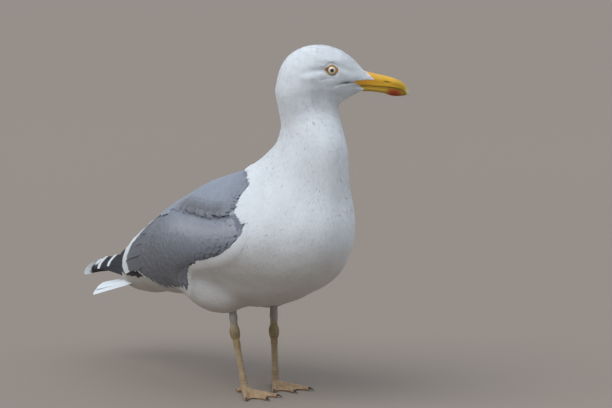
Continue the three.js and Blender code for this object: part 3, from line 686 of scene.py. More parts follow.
def horn_material():
    n = Nodes("bill_horn", Specular_IOR_Level=0.4, Coat_Weight=0.08, Coat_Roughness=0.3, Subsurface_Weight=0.0)
    place = n.object_place()
    cloud = n.noise(120, 4, 0.6, place)
    streak = n.add("ShaderNodeMapping")
    n.put(streak, Vector=n.uv("UVMap"))
    streak.inputs["Scale"].default_value = (90, 5, 1)
    lines = n.noise(3.0, 4, 0.65, streak.outputs[0])
    dim = n.add("ShaderNodeVectorMath", operation="SCALE")
    n.link(n.attr("tint"), dim.inputs[0])
    n.link(n.math("ADD", n.math("ADD", 0.80, n.math("MULTIPLY", cloud, 0.22)), n.math("MULTIPLY", lines, 0.18)), dim.inputs["Scale"])
    return n.done(dim.outputs[0], n.math("ADD", 0.30, n.math("MULTIPLY", lines, 0.2)), n.bump(n.math("ADD", lines, cloud), 0.00016, 0.5))


def eye_material():
    n = Nodes("eye_glass", Roughness=0.04, Specular_IOR_Level=0.6, Coat_Weight=1.0, Coat_Roughness=0.02)
    place = n.object_place()
    fleck = n.noise(2200, 3, 0.6, place)
    dim = n.add("ShaderNodeVectorMath", operation="SCALE")
    n.link(n.attr("tint"), dim.inputs[0])
    n.link(n.math("ADD", 0.9, n.math("MULTIPLY", fleck, 0.2)), dim.inputs["Scale"])
    return n.done(dim.outputs[0])


def lid_material():
    n = Nodes("eye_ring_skin", Roughness=0.5, Specular_IOR_Level=0.45)
    place = n.object_place()
    beads = n.add("ShaderNodeTexVoronoi")
    n.put(beads, Scale=1500.0, Vector=place)
    dim = n.add("ShaderNodeVectorMath", operation="SCALE")
    n.link(n.attr("tint"), dim.inputs[0])
    n.link(n.math("ADD", 1.08, n.math("MULTIPLY", beads.outputs[0], -0.35)), dim.inputs["Scale"])
    return n.done(dim.outputs[0], None, n.bump(beads.outputs[0], 0.0002, -0.8))


def claw_material():
    n = Nodes("claw_horn", Specular_IOR_Level=0.5)
    place = n.object_place()
    cloud = n.noise(500, 3, 0.6, place)
    col = n.ramp(cloud, (0.3, tuple(hexa("1d1814"))), (0.75, tuple(hexa("4a3c30"))))
    return n.done(col, n.math("ADD", 0.28, n.math("MULTIPLY", cloud, 0.2)), n.bump(cloud, 0.0001, 0.5))


M_SKIN, M_LEG, M_HORN, M_EYE, M_LID, M_CLAW = skin_material(), leg_material(), horn_material(), eye_material(), lid_material(), claw_material()

# ------------------------------------------------------------------ floor, light, camera
def stage():
    n = Nodes("floor_plain", Roughness=0.9, Specular_IOR_Level=0.15)
    n.b.inputs["Base Color"].default_value = (0.281, 0.238, 0.203, 1)
    soft = n.noise(0.8, 2, 0.5, n.object_place())
    n.done(n.mix(soft, (0.273, 0.231, 0.197), (0.289, 0.245, 0.209)))
    me = bpy.data.meshes.new("floor")
    s = 150.0
    me.from_pydata([(-s, -s, 0), (s, -s, 0), (s, s, 0), (-s, s, 0)], [], [(0, 1, 2, 3)])
    me.materials.append(n.m)
    ob = bpy.data.objects.new("floor", me)
    bpy.context.scene.collection.objects.link(ob)

    w = bpy.data.worlds.new("soft_daylight")
    bpy.context.scene.world = w
    w.use_nodes = True
    bg = w.node_tree.nodes["Background"]
    bg.inputs[0].default_value = (0.865, 0.965, 1.10, 1)
    bg.inputs[1].default_value = 0.45
    for name, turn, power, size, colour in (("sky_key", (38, -8, -78), 1.34, 52, (1.0, 0.985, 0.97)), ("sky_top", (0, 0, 0), 1.0, 100, (0.93, 0.975, 1.04)), ("sky_fill", (50, 0, 40), 0.22, 120, (0.92, 0.97, 1.0))):
        d = bpy.data.lights.new(name, "SUN")
        d.energy, d.angle, d.color = power, rad(size), colour
        o = bpy.data.objects.new(name, d)
        o.rotation_euler = [rad(a) for a in turn]
        bpy.context.scene.collection.objects.link(o)

    # the camera looks along this direction, square to the frame of 612 x 408
    az, el, far = rad(34), rad(9), 14.0
    to_cam = np.array([-math.sin(az) * math.cos(el), -math.cos(az) * math.cos(el), math.sin(el)])
    right = np.array([math.cos(az), -math.sin(az), 0])
    up = np.cross(to_cam, right) * -1
    up = up if up[2] > 0 else -up
    # the middle of the frame lies 46.5 mm right of the bird's mark and 185.5 mm above it
    centre = right * (306 - 259.5) + up * (389.5 - 204)
    mid = np.array([0, 40.0, 170.0])
    centre = centre + to_cam * (dot(mid, to_cam) - dot(centre, to_cam))
    cam = bpy.data.cameras.new("camera")
    cam.sensor_width, cam.lens = 36, 36 * far / 0.612
    cam.clip_start, cam.clip_end = 1.0, 400
    o = bpy.data.objects.new("camera", cam)
    o.location = to_row(centre) + to_cam * far
    from mathutils import Vector
    o.rotation_euler = Vector(-to_cam).to_track_quat("-Z", "Y").to_euler()
    bpy.context.scene.collection.objects.link(o)
    bpy.context.scene.camera = o
    bpy.context.scene.view_settings.view_transform = "Standard"


stage()

# ------------------------------------------------------------------ legs, webbed feet
HIP = {"R": (-25, 13.5, 96), "L": (25, 12, 96)}
ANKLE = {"R": (-24.5, 7.5, 59), "L": (24.5, 10.4, 55)}
FOOT = {"R": (-24.5, -10.4, 5.5), "L": (26.3, 10.4, 5.5)}
HEADING = {"R": -7, "L": -11}
TOE_MID, TOE_IN, TOE_OUT, TOE_HIND, TOE_SPREAD = 47, 40, 44, 9, 25


def toe_dir(h):
    return np.array([math.sin(rad(h)), -math.cos(rad(h)), 0.0])


def capsule(p, a, b, ra, rb, sx=1.0):
    return cone(p[..., 0], p[..., 1], p[..., 2], a, b, ra, rb, squash=sx)


def toes_of(s):
    k = -1 if s == "R" else 1
    h = HEADING[s]
    return ((h, TOE_MID, 4), (h - k * TOE_SPREAD, TOE_IN, 3), (h + k * TOE_SPREAD, TOE_OUT, 4)), (h + 180 - k * 18, TOE_HIND)


def leg_field(s):
    hip, ank, foot = (np.array(d[s], float) for d in (HIP, ANKLE, FOOT))
    toes, hind = toes_of(s)
    k = -1 if s == "R" else 1
    down = unit(foot - ank)

    def fn(p):
        p = np.asarray(p, np.float32)
        d = capsule(p, tuple(hip + (hip - ank) * 0.1), tuple(lerp(hip, ank, 0.6)), 5.6, 3.9, 0.84)
        d = blend(d, capsule(p, tuple(lerp(hip, ank, 0.6)), tuple(ank), 3.9, 3.9, 0.9), 2.5)
        d = blend(d, capsule(p, tuple(ank + down * -2.5), tuple(ank + down * 1.5), 5.1, 4.9, 0.97), 2.0)
        d = blend(d, capsule(p, tuple(ank + (0, 2.4, 1.2)), tuple(ank + (0, 1.6, -3.5)), 2.9, 2.6), 2.0)   # heel
        d = blend(d, capsule(p, tuple(ank), tuple(lerp(ank, foot, 0.22)), 4.6, 3.4, 0.84), 2.5)
        d = blend(d, capsule(p, tuple(lerp(ank, foot, 0.2)), tuple(lerp(ank, foot, 0.8)), 3.5, 3.45, 0.86), 2.0)
        d = blend(d, capsule(p, tuple(lerp(ank, foot, 0.2) + (0, 1.5, 0)), tuple(lerp(ank, foot, 0.85) + (0, 1.2, 0)), 1.7, 1.8, 0.9), 1.5)   # tendon behind
        d = blend(d, capsule(p, tuple(lerp(ank, foot, 0.8)), (foot[0], foot[1], 4.6), 3.5, 4.1), 2.5)
        base = np.array([foot[0], foot[1], 0.0])
        x, y, z = p[..., 0] - foot[0], p[..., 1] - foot[1], p[..., 2]
        for h, length, n in toes:
            t = toe_dir(h)
            prev, rp = base + (0, 0, 3.6), 3.5
            for i in range(1, n + 1):
                e = i / n
                r = lerp(2.95, 2.05, e)
                q = base + t * (length - 1.2) * e + np.array([0, 0, r * 0.92 + 0.25 * math.sin(math.pi * e)])
                # a slimmer length, then the pad of the joint
                mid = (prev + q) / 2
                d = blend(d, capsule(p, tuple(prev), tuple(q), rp * 0.93, r * 0.93), 1.2)
                d = blend(d, capsule(p, tuple(q + t * -0.7), tuple(q + t * 0.5), r * 1.05, r * 1.04), 0.9)
                prev, rp = q, r
        h, length = hind
        t = toe_dir(h)
        d = blend(d, capsule(p, tuple(base + (0, 0, 5.0)), tuple(base + t * length + (0, 0, 2.3)), 2.6, 1.9), 1.5)
        # the webs, scalloped in at the free edge
        rho, ang = np.hypot(x, y), np.degrees(np.arctan2(x, -y))
        for (h0, l0, _), (h1, l1, _) in ((toes[1], toes[0]), (toes[0], toes[2])):
            if h0 > h1:
                h0, l0, h1, l1 = h1, l1, h0, l0
            a = np.clip((ang - h0) / (h1 - h0), 0, 1)
            reach = (l0 + (l1 - l0) * a) * (1 - 0.17 * np.abs(np.sin(np.pi * a)) ** 0.8) - 2.5
            out = np.maximum(np.maximum(h0 - ang, ang - h1), 0) * rho * 0.01745
            zc = 1.15 + 0.5 * np.exp(-rho / 14) + 0.12 * np.sin(rho * 0.55 + ang * 0.3)
            sheet = np.maximum(np.maximum(np.abs(z - zc) - lerp(1.0, 0.5, np.clip(rho / 40, 0, 1)), rho - reach), out - 0.3)
            d = blend(d, sheet, 1.6)
        return np.maximum(d, -z)
    return fn


def leg_surface(s):
    fn = leg_field(s)
    foot = FOOT[s]
    xs = np.arange(foot[0] - 33, foot[0] + 33, 0.8)
    ys = np.arange(foot[1] - 52, max(HIP[s][1] + 16, foot[1] + 16), 0.8)
    zs = np.r_[np.arange(-0.6, 10, 0.55), np.arange(10, 104, 1.0)]
    v, q = surface_nets(fn, xs, ys, zs)
    for _ in range(2):
        g = gradient(fn, v, 0.25)
        v = v - g * np.clip(fn(v) / np.maximum(dot(g, g), 0.1), -0.6, 0.6)[..., None]
    n = unit(gradient(fn, v, 0.3))
    v[:, 2] = np.maximum(v[:, 2], 0.0)
    # scutes across the front of the shank and along the tops of the toes
    ank, ft = np.array(ANKLE[s], float), np.array(FOOT[s], float)
    axis = unit(ft - ank)
    along = (v - ank) @ axis
    front = smooth(-0.1, 0.6, -n[:, 1]) * smooth(7, 10, v[:, 2]) * smooth(62, 56, v[:, 2])
    ridge = np.abs(((along / 2.9) % 1.0) - 0.5) * 2
    cut = np.where(front > 0.01, smooth(0.72, 1.0, ridge) * front, 0)
    top = smooth(0.2, 0.8, n[:, 2]) * smooth(8.5, 6, v[:, 2])
    toes, hind = toes_of(s)
    rel = v - np.array([ft[0], ft[1], 0])
    for h, length, _ in toes:
        t = toe_dir(h)
        a, w = rel @ t, np.abs(rel @ np.array([t[1], -t[0], 0]))
        near = smooth(2.6, 1.8, w) * (a > 2) * top
        r2 = np.abs(((a / 2.1) % 1.0) - 0.5) * 2
        cut = np.maximum(cut, near * smooth(0.68, 1.0, r2))
    v = v - n * (0.26 * cut)[:, None] * (v[:, 2] > 0.3)[:, None]
    # colour: greyer above the ankle, olive down the shin, pinker toes and webs
    z = v[:, 2]
    c = lerp(LEG_TAN, LEG_OLIVE, (0.7 * smooth(30, 55, z) * smooth(75, 60, z))[:, None])
    c = lerp(c, LEG_DARK, (0.55 * np.exp(-(((z - ank[2] + 1) / 6.5) ** 2)) * (0.5 + 0.5 * waves(v, 4, 31)) + 0.12)[:, None].clip(0, 1))
    c = lerp(c, np.array([0.36, 0.35, 0.34]), smooth(60, 74, z)[:, None] * 0.8)
    c = lerp(c, LEG_PINK, (smooth(9, 3, z) * 0.75)[:, None])
    c = c * (1 - 0.38 * cut)[:, None] * (1 + 0.10 * waves(v, 6, 33) * 0.7)[:, None].clip(0.5, 1.3)
    return v, q, n, c


# ------------------------------------------------------------------ the one skin
def body_skin():
    xs = np.arange(-80, 80.1, 1.9)
    ys = np.r_[np.arange(-150, -52, 1.25), np.arange(-52, 252, 2.4)]
    zs = np.r_[np.arange(62, 292, 2.3), np.arange(292, 362, 1.1)]
    v, q = surface_nets(skin_level, xs, ys, zs)
    v = settle(v, 0, skin_level, 2)
    return v, q


def grey_amount(p, soft=3.0):
    """How grey the plumage is at this place, 0 white to 1 grey."""
    d = inside_grey(flat_map(p))
    d = d + 0.9 * waves(p, 11, 41) + 0.4 * waves(p, 4, 42)
    return smooth(-soft, soft, d), d


say("skin")
skin_v, skin_q = body_skin()
say("skin", len(skin_v), len(skin_q))
skin_n = unit(gradient(body, skin_v))
skin_g, skin_d = grey_amount(skin_v)
skin_c = lerp(WHITE * 0.99, GREY * 0.85, skin_g[:, None])


def build_skin():
    up = skin_v[:, 2] > 296
    # painted shade: the skin of the head is darker down in the folds of the face
    skin_c[up] = skin_c[up] * face_shade(*head_coords(skin_v[up]))[:, None]
    vs, qs, cs, ns, mats = [skin_v], [skin_q], [skin_c], [skin_n], [np.zeros(len(skin_q), int)]
    u, v, _ = unwrap(skin_v)
    uvs = [np.stack([u * 0.98 + 0.01, 0.2 + v * 0.79], 1)]
    seam = np.ptp(u[skin_q], axis=1) > 0.5
    for i, s in enumerate("RL"):
        lv, lq, ln, lc = leg_surface(s)
        base = sum(len(a) for a in vs)
        vs.append(lv)
        qs.append(lq + base)
        cs.append(lc)
        ns.append(ln)
        mats.append(np.ones(len(lq), int))
        ank, ft = np.array(ANKLE[s], float), np.array(FOOT[s], float)
        a = np.arctan2(lv[:, 0] - lerp(ft[0], ank[0], lv[:, 2] / 60), lv[:, 1] - lerp(ft[1], ank[1], np.clip(lv[:, 2] / 60, 0, 1.6)))
        shank = np.stack([0.01 + i * 0.5 + (a / 6.2832 + 0.5) * 0.16, 0.01 + np.clip(lv[:, 2], 0, 104) / 104 * 0.17], 1)
        rel = (lv[:, :2] - ft[:2] + (33, 52)) / (70, 75)
        sole = np.where((ln[:, 2] > 0)[:, None], rel * (0.14, 0.16) + (0.19 + i * 0.5, 0.01), rel * (0.14, 0.16) + (0.34 + i * 0.5, 0.01))
        uvs.append(np.where((lv[:, 2] > 9)[:, None], shank, sole))
    uv = np.concatenate(uvs)
    allq = np.concatenate(qs)
    corner = uv[allq].copy()
    wide = np.ptp(corner[..., 0], axis=1) > 0.35                   # the body's unwrap closes on itself underneath
    wide[len(skin_q):] = False
    low = corner[wide][..., 0] < 0.5
    fixed = corner[wide]
    fixed[..., 0] = np.where(low, 0.995, fixed[..., 0])
    corner[wide] = fixed
    legs = corner[len(skin_q):]
    spread = (np.ptp(legs[..., 0], axis=1) > 0.05) | (np.ptp(legs[..., 1], axis=1) > 0.05)
    legs[spread] = legs[spread][:, :1] + np.array([[[0, 0], [0.0008, 0], [0.0008, 0.0008], [0, 0.0008]]])
    corner[len(skin_q):] = legs
    ob = mesh_object("skin", np.concatenate(vs), allq, bake_uv=corner.reshape(-1, 2), tint=np.concatenate(cs), mats=[M_SKIN, M_LEG], face_mat=np.concatenate(mats))
    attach(ob, "root")
    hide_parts("head", "neck", "trunk", "rump", "wing_R", "wing_L", "shank_R", "tarsus_R", "foot_R", "shank_L", "tarsus_L", "foot_L")
    return ob


skin = build_skin()
say("skin built", len(skin.data.polygons))


# ------------------------------------------------------------------ the lie of the plumage
def flow(p, n=None):
    """Direction in which the feathers lie at each place, along the surface, from bill to tail."""
    k = station(p)
    w = -at_station(TAN, k)
    f, l, u = head_coords(p)
    z, y, ax = p[:, 2], p[:, 1], np.abs(p[:, 0])
    # breast and belly: down the middle, then back between the legs
    w = w + np.array([0, 0, -0.25]) * (smooth(40, -40, y) * smooth(250, 200, z))[:, None]
    # head: away from the bill, over the crown and down the nape and cheeks
    head = smooth(292, 318, z)
    back = smooth(-2, -42, f)
    under = smooth(-14, -26, u) * smooth(-30, 20, f)
    h = -HF * (1 - 0.75 * back - 0.35 * under)[:, None] - HU * (0.95 * back + 0.8 * under + 0.12)[:, None]
    # parted round the eye
    e = eye_oval(f, u)
    part = np.exp(-np.maximum(e - 1, 0) / 0.9) * (np.abs(l) > 6)
    ef, eu = f - EYE_AT[0], u - EYE_AT[1]
    h = h + (HF * (ef / LID_F)[:, None] + HU * (eu / 5.0)[:, None]) / np.maximum(e, 0.5)[:, None] * (0.75 * part * smooth(-1.5, 1.0, ef / LID_F))[:, None]
    w = w * (1 - head)[:, None] + h * head[:, None]
    # flank feathers sweep back and a little up over the wing's lower edge
    flank = np.exp(-((y - 10) / 40) ** 2) * np.exp(-((z - 125) / 22) ** 2) * smooth(45, 62, ax)
    w = w + np.array([0, 0.6, 0.35]) * flank[:, None]
    if n is None:
        n = unit(gradient(body, p))
    return unit(w - n * dot(w, n)[:, None])


def scatter(ob, weight, spacing, seed, name="pick"):
    """Evenly spread points, this far apart, over the faces whose vertices have the weight. Made by Geometry Nodes, then read back."""
    a = ob.data.attributes.get(name) or ob.data.attributes.new(name, "FLOAT", "POINT")
    a.data.foreach_set("value", weight.astype(np.float32))
    g = bpy.data.node_groups.new("scatter", "GeometryNodeTree")
    g.interface.new_socket("Geometry", in_out="INPUT", socket_type="NodeSocketGeometry")
    g.interface.new_socket("Geometry", in_out="OUTPUT", socket_type="NodeSocketGeometry")
    i, o = g.nodes.new("NodeGroupInput"), g.nodes.new("NodeGroupOutput")
    d = g.nodes.new("GeometryNodeDistributePointsOnFaces")
    d.distribute_method = "POISSON"
    at = g.nodes.new("GeometryNodeInputNamedAttribute")
    at.data_type = "FLOAT"
    at.inputs["Name"].default_value = name
    pv = g.nodes.new("GeometryNodePointsToVertices")
    g.links.new(i.outputs[0], d.inputs["Mesh"])
    g.links.new(at.outputs["Attribute"], d.inputs["Density Factor"])
    d.inputs["Distance Min"].default_value = spacing / 1000
    d.inputs["Density Max"].default_value = 2.4 / (spacing / 1000) ** 2
    d.inputs["Seed"].default_value = seed
    g.links.new(d.outputs["Points"], pv.inputs["Points"])
    g.links.new(pv.outputs["Mesh"], o.inputs[0])
    m = ob.modifiers.new("scatter", "NODES")
    m.node_group = g
    bpy.context.view_layer.update()
    ev = ob.evaluated_get(bpy.context.evaluated_depsgraph_get())
    me = ev.to_mesh()
    co = np.empty(len(me.vertices) * 3, np.float32)
    me.vertices.foreach_get("co", co)
    ev.to_mesh_clear()
    ob.modifiers.remove(m)
    bpy.data.node_groups.remove(g)
    return co.reshape(-1, 3).astype(float) * 1000 - SHIFT


def scatter_surface():
    """The coat's own outer surface without the legs, as a mesh to scatter roots on."""
    return mesh_object("roots", skin_v, skin_q)


def push_off_eye(c):
    """Keeps plumage out of the bare ring round the eye."""
    f, l, u = head_coords(c)
    e = eye_oval(f, u)
    m = (e < 1.0) & (np.abs(l) > 8) & (np.abs(l) < 28)
    s = np.where(m, 1 / np.maximum(e, 0.2) - 1, 0)
    return c + (HF * ((f - EYE_AT[0]) * s)[..., None] + HU * ((u - EYE_AT[1]) * s)[..., None])


def strokes(root, length, rows, depth, top, turn, fn_level=level_of_coat, lift=0.0):
    """Centre lines of tufts: they start on the skin and come up to the coat's level, following the lie of the plumage.
    turn bends each one sideways by this angle. Returns the places and the surface normals along them."""
    n = len(root)
    pts, nrm = np.empty((n, rows, 3)), np.empty((n, rows, 3))
    p = root.copy()
    for k in range(rows):
        t = k / (rows - 1)
        rise = math.sin(min(1.0, t * 1.7) * math.pi / 2)
        g = gradient(body, p)
        lev = lerp(-depth, fn_level(p) + top, rise) + lift * t
        p = p - g * ((body(p) - lev) / np.maximum(dot(g, g), 0.05))[:, None]
        p = push_off_eye(p)
        nn = unit(g)
        if fn_level is level_of_coat:
            nn = unit(gradient(lambda q: body(q) - level_of_coat(q), p, 0.6))
        pts[:, k], nrm[:, k] = p, nn
        if k < rows - 1:
            w = flow(p, nn)
            b = np.cross(nn, w)
            a = turn * (k + 1) / (rows - 1)
            w = w * np.cos(a)[:, None] + b * np.sin(a)[:, None]
            p = p + w * (length / (rows - 1))[:, None]
    return pts, nrm


def blades(pts, nrm, width, ridge, taper, splay=0.15):
    """Solid leaf-like blades round centre lines: left edge, ridge, right edge, closed to a point at the tip."""
    n, rows, _ = pts.shape
    t = unit(np.gradient(pts, axis=1))
    b = unit(np.cross(nrm, t))
    w = width[:, None] * taper[None, :rows] / 2
    keep = rows - 1                                    # the last place is the tip
    L = pts[:, :keep] - b[:, :keep] * w[:, :keep, None] - nrm[:, :keep] * (ridge[:, None, None] * 0.5)
    R = pts[:, :keep] + b[:, :keep] * w[:, :keep, None] - nrm[:, :keep] * (ridge[:, None, None] * 0.5)
    M = pts[:, :keep] + nrm[:, :keep] * (ridge[:, None, None] * 0.5)
    v = np.concatenate([np.stack([L, M, R], 2).reshape(n, keep * 3, 3), pts[:, -1:]], 1)
    per = keep * 3 + 1
    quads, tris = [], []
    for k in range(keep - 1):
        a, c = 3 * k, 3 * k + 3
        quads += [(a, a + 1, c + 1, c), (a + 1, a + 2, c + 2, c + 1), (a + 2, a, c, c + 2)]
    e = 3 * (keep - 1)
    tris += [(e, e + 1, per - 1), (e + 1, e + 2, per - 1), (e + 2, e, per - 1), (2, 1, 0)]
    off = (np.arange(n) * per)[:, None, None]
    q = (np.array(quads, np.int64)[None] + off).reshape(-1, 4)
    r = (np.array(tris, np.int64)[None] + off).reshape(-1, 3)
    side = b[:, :keep]
    bn = nrm[:, :keep]
    nl, nm, nr = unit(bn - side * splay), bn, unit(bn + side * splay)
    normals = np.concatenate([np.stack([nl, nm, nr], 2).reshape(n, keep * 3, 3), nrm[:, -1:]], 1)
    # places on the blade: across, along
    along = np.linspace(0, 1, rows)
    uv = np.concatenate([np.stack([np.tile([0, 0.5, 1.0], keep), np.repeat(along[:keep], 3)], 1), [[0.5, 1.0]]])
    return v.reshape(-1, 3), q[:, ::-1], r[:, ::-1], normals.reshape(-1, 3), uv, per


PATCH = 0.003


def bake_places(root, per_uv, per):
    """OFBake: a small patch for each tuft at its root's place on the unwrap of the skin."""
    u, v, _ = unwrap(root)
    c = np.stack([u * 0.98 + 0.01, 0.2 + v * 0.79], 1)
    return (c[:, None, :] + (per_uv[None] - 0.5) * PATCH).reshape(-1, 2)


def coat_piece(name, root, pts, nrm, width, ridge, taper, tint, material):
    v, q, r, nn, uv, per = blades(pts, nrm, width, ridge, taper)
    ob = mesh_object(name, v, [q, r], material, uv=np.tile(uv, (len(root), 1)), bake_uv=bake_places(root, uv, per),
                     tint=np.repeat(tint, per, axis=0), normals=nn)
    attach(ob, "root")
    return ob


# ------------------------------------------------------------------ white plumage
def bill_side(f):
    """Half-width of the upper bill at this distance forward of the eye."""
    return np.interp(f, [15, 26, 34, 43.2, 53.5], [5.2, 6.6, 6.8, 6.0, 5.0])


# where the face is feathered, in head coordinates: the upper bill shows above the wedge, and a strip of it below
def bare_face(f, l, u):
    """True where the bill, the gape or the eye's ring is bare."""
    upper = np.interp(u, [-10.4, -9.9, -9.2, -8.0, -6.8, -6.0, -4.2, -2.2, 0.0, 1.2, 4.0], [21.4, 22.6, 24.0, 28.2, 34.0, 43.2, 39.9, 36.8, 33.2, 31.2, 29.6])
    jaw = np.interp(u, [-21.0, -19.0, -16.6, -15.6, -13.9, -12.2, -10.4], [31.0, 31.9, 34.0, 30.6, 28.2, 26.3, 21.4])
    border = np.where(u > -10.4, upper, jaw)
    eye = (eye_oval(f, u) < 1.02) & (np.abs(l) > 8)
    return (f > border) | eye


def underside_shade(p):
    """Painted shade, warm like the floor's bounce light: the white is made darker and browner where the plumage faces
    down below the breast, low on the belly and vent, and on the undertail.
    """
    n = unit(gradient(body, p, 1.0))
    k = smooth(0.25, -0.85, n[..., 2]) * smooth(215, 150, p[..., 2])
    k = np.clip(k * 0.75 + 0.25 * smooth(118, 92, p[..., 2]) + 0.35 * smooth(60, 100, p[..., 1]) * smooth(100, 90, p[..., 2]), 0, 1)
    return lerp(np.ones(3), np.array([0.68, 0.595, 0.51]), k[..., None])


def white_coat():
    src = scatter_surface()
    f, l, u = head_coords(skin_v)
    z, y, x = skin_v[:, 2] + 9 * waves(skin_v, 26, 51), skin_v[:, 1], skin_v[:, 0]
    white = skin_d < 2.6
    # spacing of the tufts by place
    space = np.full(len(skin_v), 2.3)
    for lim, sp in ((200, 2.1), (216, 1.95), (232, 1.8), (247, 1.66), (262, 1.54), (275, 1.42), (287, 1.3)):
        space = np.where(z > lim, sp, space)
    space = np.where((z > 300) & (f > -30), 1.2, space)
    space = np.where((z > 302) & (f > -14), 1.08, space)
    space = np.where((z > 305) & (f > 12), 0.85, space)
    space = np.where((z < 200) & (y > 30) & (z < 140), 2.6, space)
    bands = {}
    for i, s in enumerate(sorted(set(space.tolist()))):
        w = ((space == s) & white & ~((z > 296) & bare_face(f, l, u))).astype(float)
        bands[s] = scatter(src, w, s * (0.58), 11 + i)
        say("tufts", s, len(bands[s]))
    bpy.data.objects.remove(src)
    jobs = []
    for s, root in bands.items():
        f, l, u = head_coords(root)
        root = root[~((root[:, 2] > 296) & (bare_face(f, l, u) | ((f > 14) & bare_face(f + 1.2, l, u))))]
        f, l, u = head_coords(root)
        rng = np.random.default_rng(int(s * 100))
        n = len(root)
        m = 1.0
        body_k = float(smooth(1.0, 1.9, s))
        length = s * rng.uniform(0.8, 1.2, n) * lerp(4.0, 5.2, body_k) * m
        width = s * rng.uniform(0.75, 1.2, n) * lerp(0.85, 1.2, body_k) * m
        rows = 4 if s < 1.2 else 5
        depth = coat_depth(root)
        turn = rng.normal(0, 0.08, n)
        top = rng.uniform(-0.08, 0.02, n) * lerp(0.7, 1.2, body_k)
        lift = rng.uniform(0.02, 0.09, n) * lerp(0.8, 1.2, body_k)
        pts, nrm = strokes(root, length, rows, depth, top, turn, lift=lift)
        tip = pts[:, -1]
        ok = (inside_grey(flat_map(tip)) < rng.uniform(-0.4, 1.6, n) + 3.0 * ((tip[:, 2] > 196) & (tip[:, 1] < 10))) | (tip[:, 1] > 72) | (root[:, 2] > 285)
        root, length, width, depth, pts, nrm = root[ok], length[ok], width[ok], depth[ok], pts[ok], nrm[ok]
        n = len(root)
        mid = pts[:, rows // 2 + 1]
        mf, ml, mu = head_coords(mid)
        # painted shade: tufts darker down in the folds of the face, and darker and warmer on the undersides
        shade = np.where(mid[:, 2] > 296, face_shade(mf, ml, mu), 1.0)
        tint = WHITE * ((1 + rng.normal(0, 0.014, n)) * shade)[:, None] * underside_shade(mid)
        taper = np.array([0.6, 1.0, 0.85, 0.0]) if rows == 4 else np.array([0.55, 0.95, 1.0, 0.78, 0.0])
        jobs.append((s, root, pts, nrm, width, np.full(n, 0.05 * s + 0.03), taper, tint))
    return jobs


def border_tufts():
    """A dense fringe of white feathers that laps over the grey along its front and lower border."""
    rng = np.random.default_rng(83)
    a = _edge[(_edge[:, 1] < 58)]
    run = np.r_[0, np.cumsum(np.linalg.norm(np.diff(a, axis=0), axis=1))]
    n = 6000
    at = rng.uniform(0, run[-1], n)
    q = np.stack([np.interp(at, run, a[:, i]) for i in range(3)], 1)
    ahead = np.stack([np.interp(np.minimum(at + 4, run[-1]), run, a[:, i]) - np.interp(np.maximum(at - 4, 0), run, a[:, i]) for i in range(3)], 1)
    nn = unit(gradient(body, q))
    out = unit(np.cross(ahead, nn))
    test = inside_grey(flat_map(q + out * 4))
    out = out * np.where(test > 0, -1.0, 1.0)[:, None]
    off = rng.uniform(-1.2, 9.0, n)
    q = q + out * off[:, None]
    q[:, 0] *= np.where(rng.random(n) < 0.5, -1.0, 1.0)
    g = gradient(body, q)
    q = q - g * ((body(q) + coat_depth(q)) / np.maximum(dot(g, g), 0.05))[:, None]
    rows = 5
    length = rng.uniform(6.0, 8.5, n)
    pts, nrm = strokes(q, length, rows, coat_depth(q) * 0.8, np.full(n, 0.12), rng.normal(0, 0.06, n), lift=rng.uniform(0.02, 0.12, n))
    ok = inside_grey(flat_map(pts[:, -1])) < rng.uniform(-0.6, 1.0, n) + 3.0 * ((pts[:, -1, 2] > 196) & (pts[:, -1, 1] < 10))
    q, pts, nrm = q[ok], pts[ok], nrm[ok]
    n = len(q)
    # painted shade: darker and warmer on the undersides
    tint = WHITE * (1 + rng.normal(0, 0.012, n))[:, None] * underside_shade(pts[:, 3])
    ob = coat_piece("border", q, pts, nrm, rng.uniform(1.5, 2.3, n), np.full(n, 0.10), np.array([0.5, 0.95, 1.0, 0.78, 0.0]), tint, M_WHITE)
    say("border", n)


border_tufts()
PARTS = []
for s, root, pts, nrm, width, ridge, taper, tint in white_coat():
    n = len(root)
    rows = pts.shape[1]
    tris = 6 * (rows - 2) + 4
    pieces = max(1, math.ceil(n * tris / 180000))
    order = np.argsort(unwrap(root)[1], kind="stable")
    for i, part in enumerate(np.array_split(order, pieces)):
        ob = coat_piece("down_%03d_%d" % (round(s * 100), i), root[part], pts[part], nrm[part], width[part], ridge[part], taper, tint[part], M_WHITE)
        PARTS.append(ob)
        say(ob.name, len(part), "tufts", len(part) * tris, "triangles")


# ------------------------------------------------------------------ bill
BILL_UPPER = [(15, 1.5, 15, -13.6, 5.2), (26, 1.0, 26, -13.3, 6.4), (34, 0.3, 34, -13.1, 6.5), (43.6, -0.8, 43, -12.7, 5.9), (53.3, -1.6, 53, -12.1, 5.0), (62.0, -2.9, 61, -11.8, 4.4),
              (68.6, -4.7, 67.5, -12.2, 3.7), (72.6, -7.0, 71.0, -12.9, 3.1), (75.9, -10.3, 73.6, -14.0, 2.5), (77.8, -13.6, 75.6, -15.6, 1.9), (79.0, -16.8, 77.2, -17.3, 1.15), (79.3, -18.9, 78.5, -18.9, 0.4)]
BILL_LOWER = [(15, -13.4, 15, -19.5, 4.4), (26, -13.4, 26, -20.4, 5.7), (34, -13.2, 34, -19.9, 5.8), (43, -12.8, 41.5, -19.1, 5.2), (53, -12.3, 53.5, -19.2, 4.3), (61, -12.1, 62, -20.6, 3.6),
              (67.2, -12.5, 68.5, -20.2, 3.0), (71.6, -13.4, 72.3, -19.3, 2.3), (74.2, -14.6, 75.0, -18.6, 1.5), (76.0, -16.6, 76.4, -17.9, 0.5)]


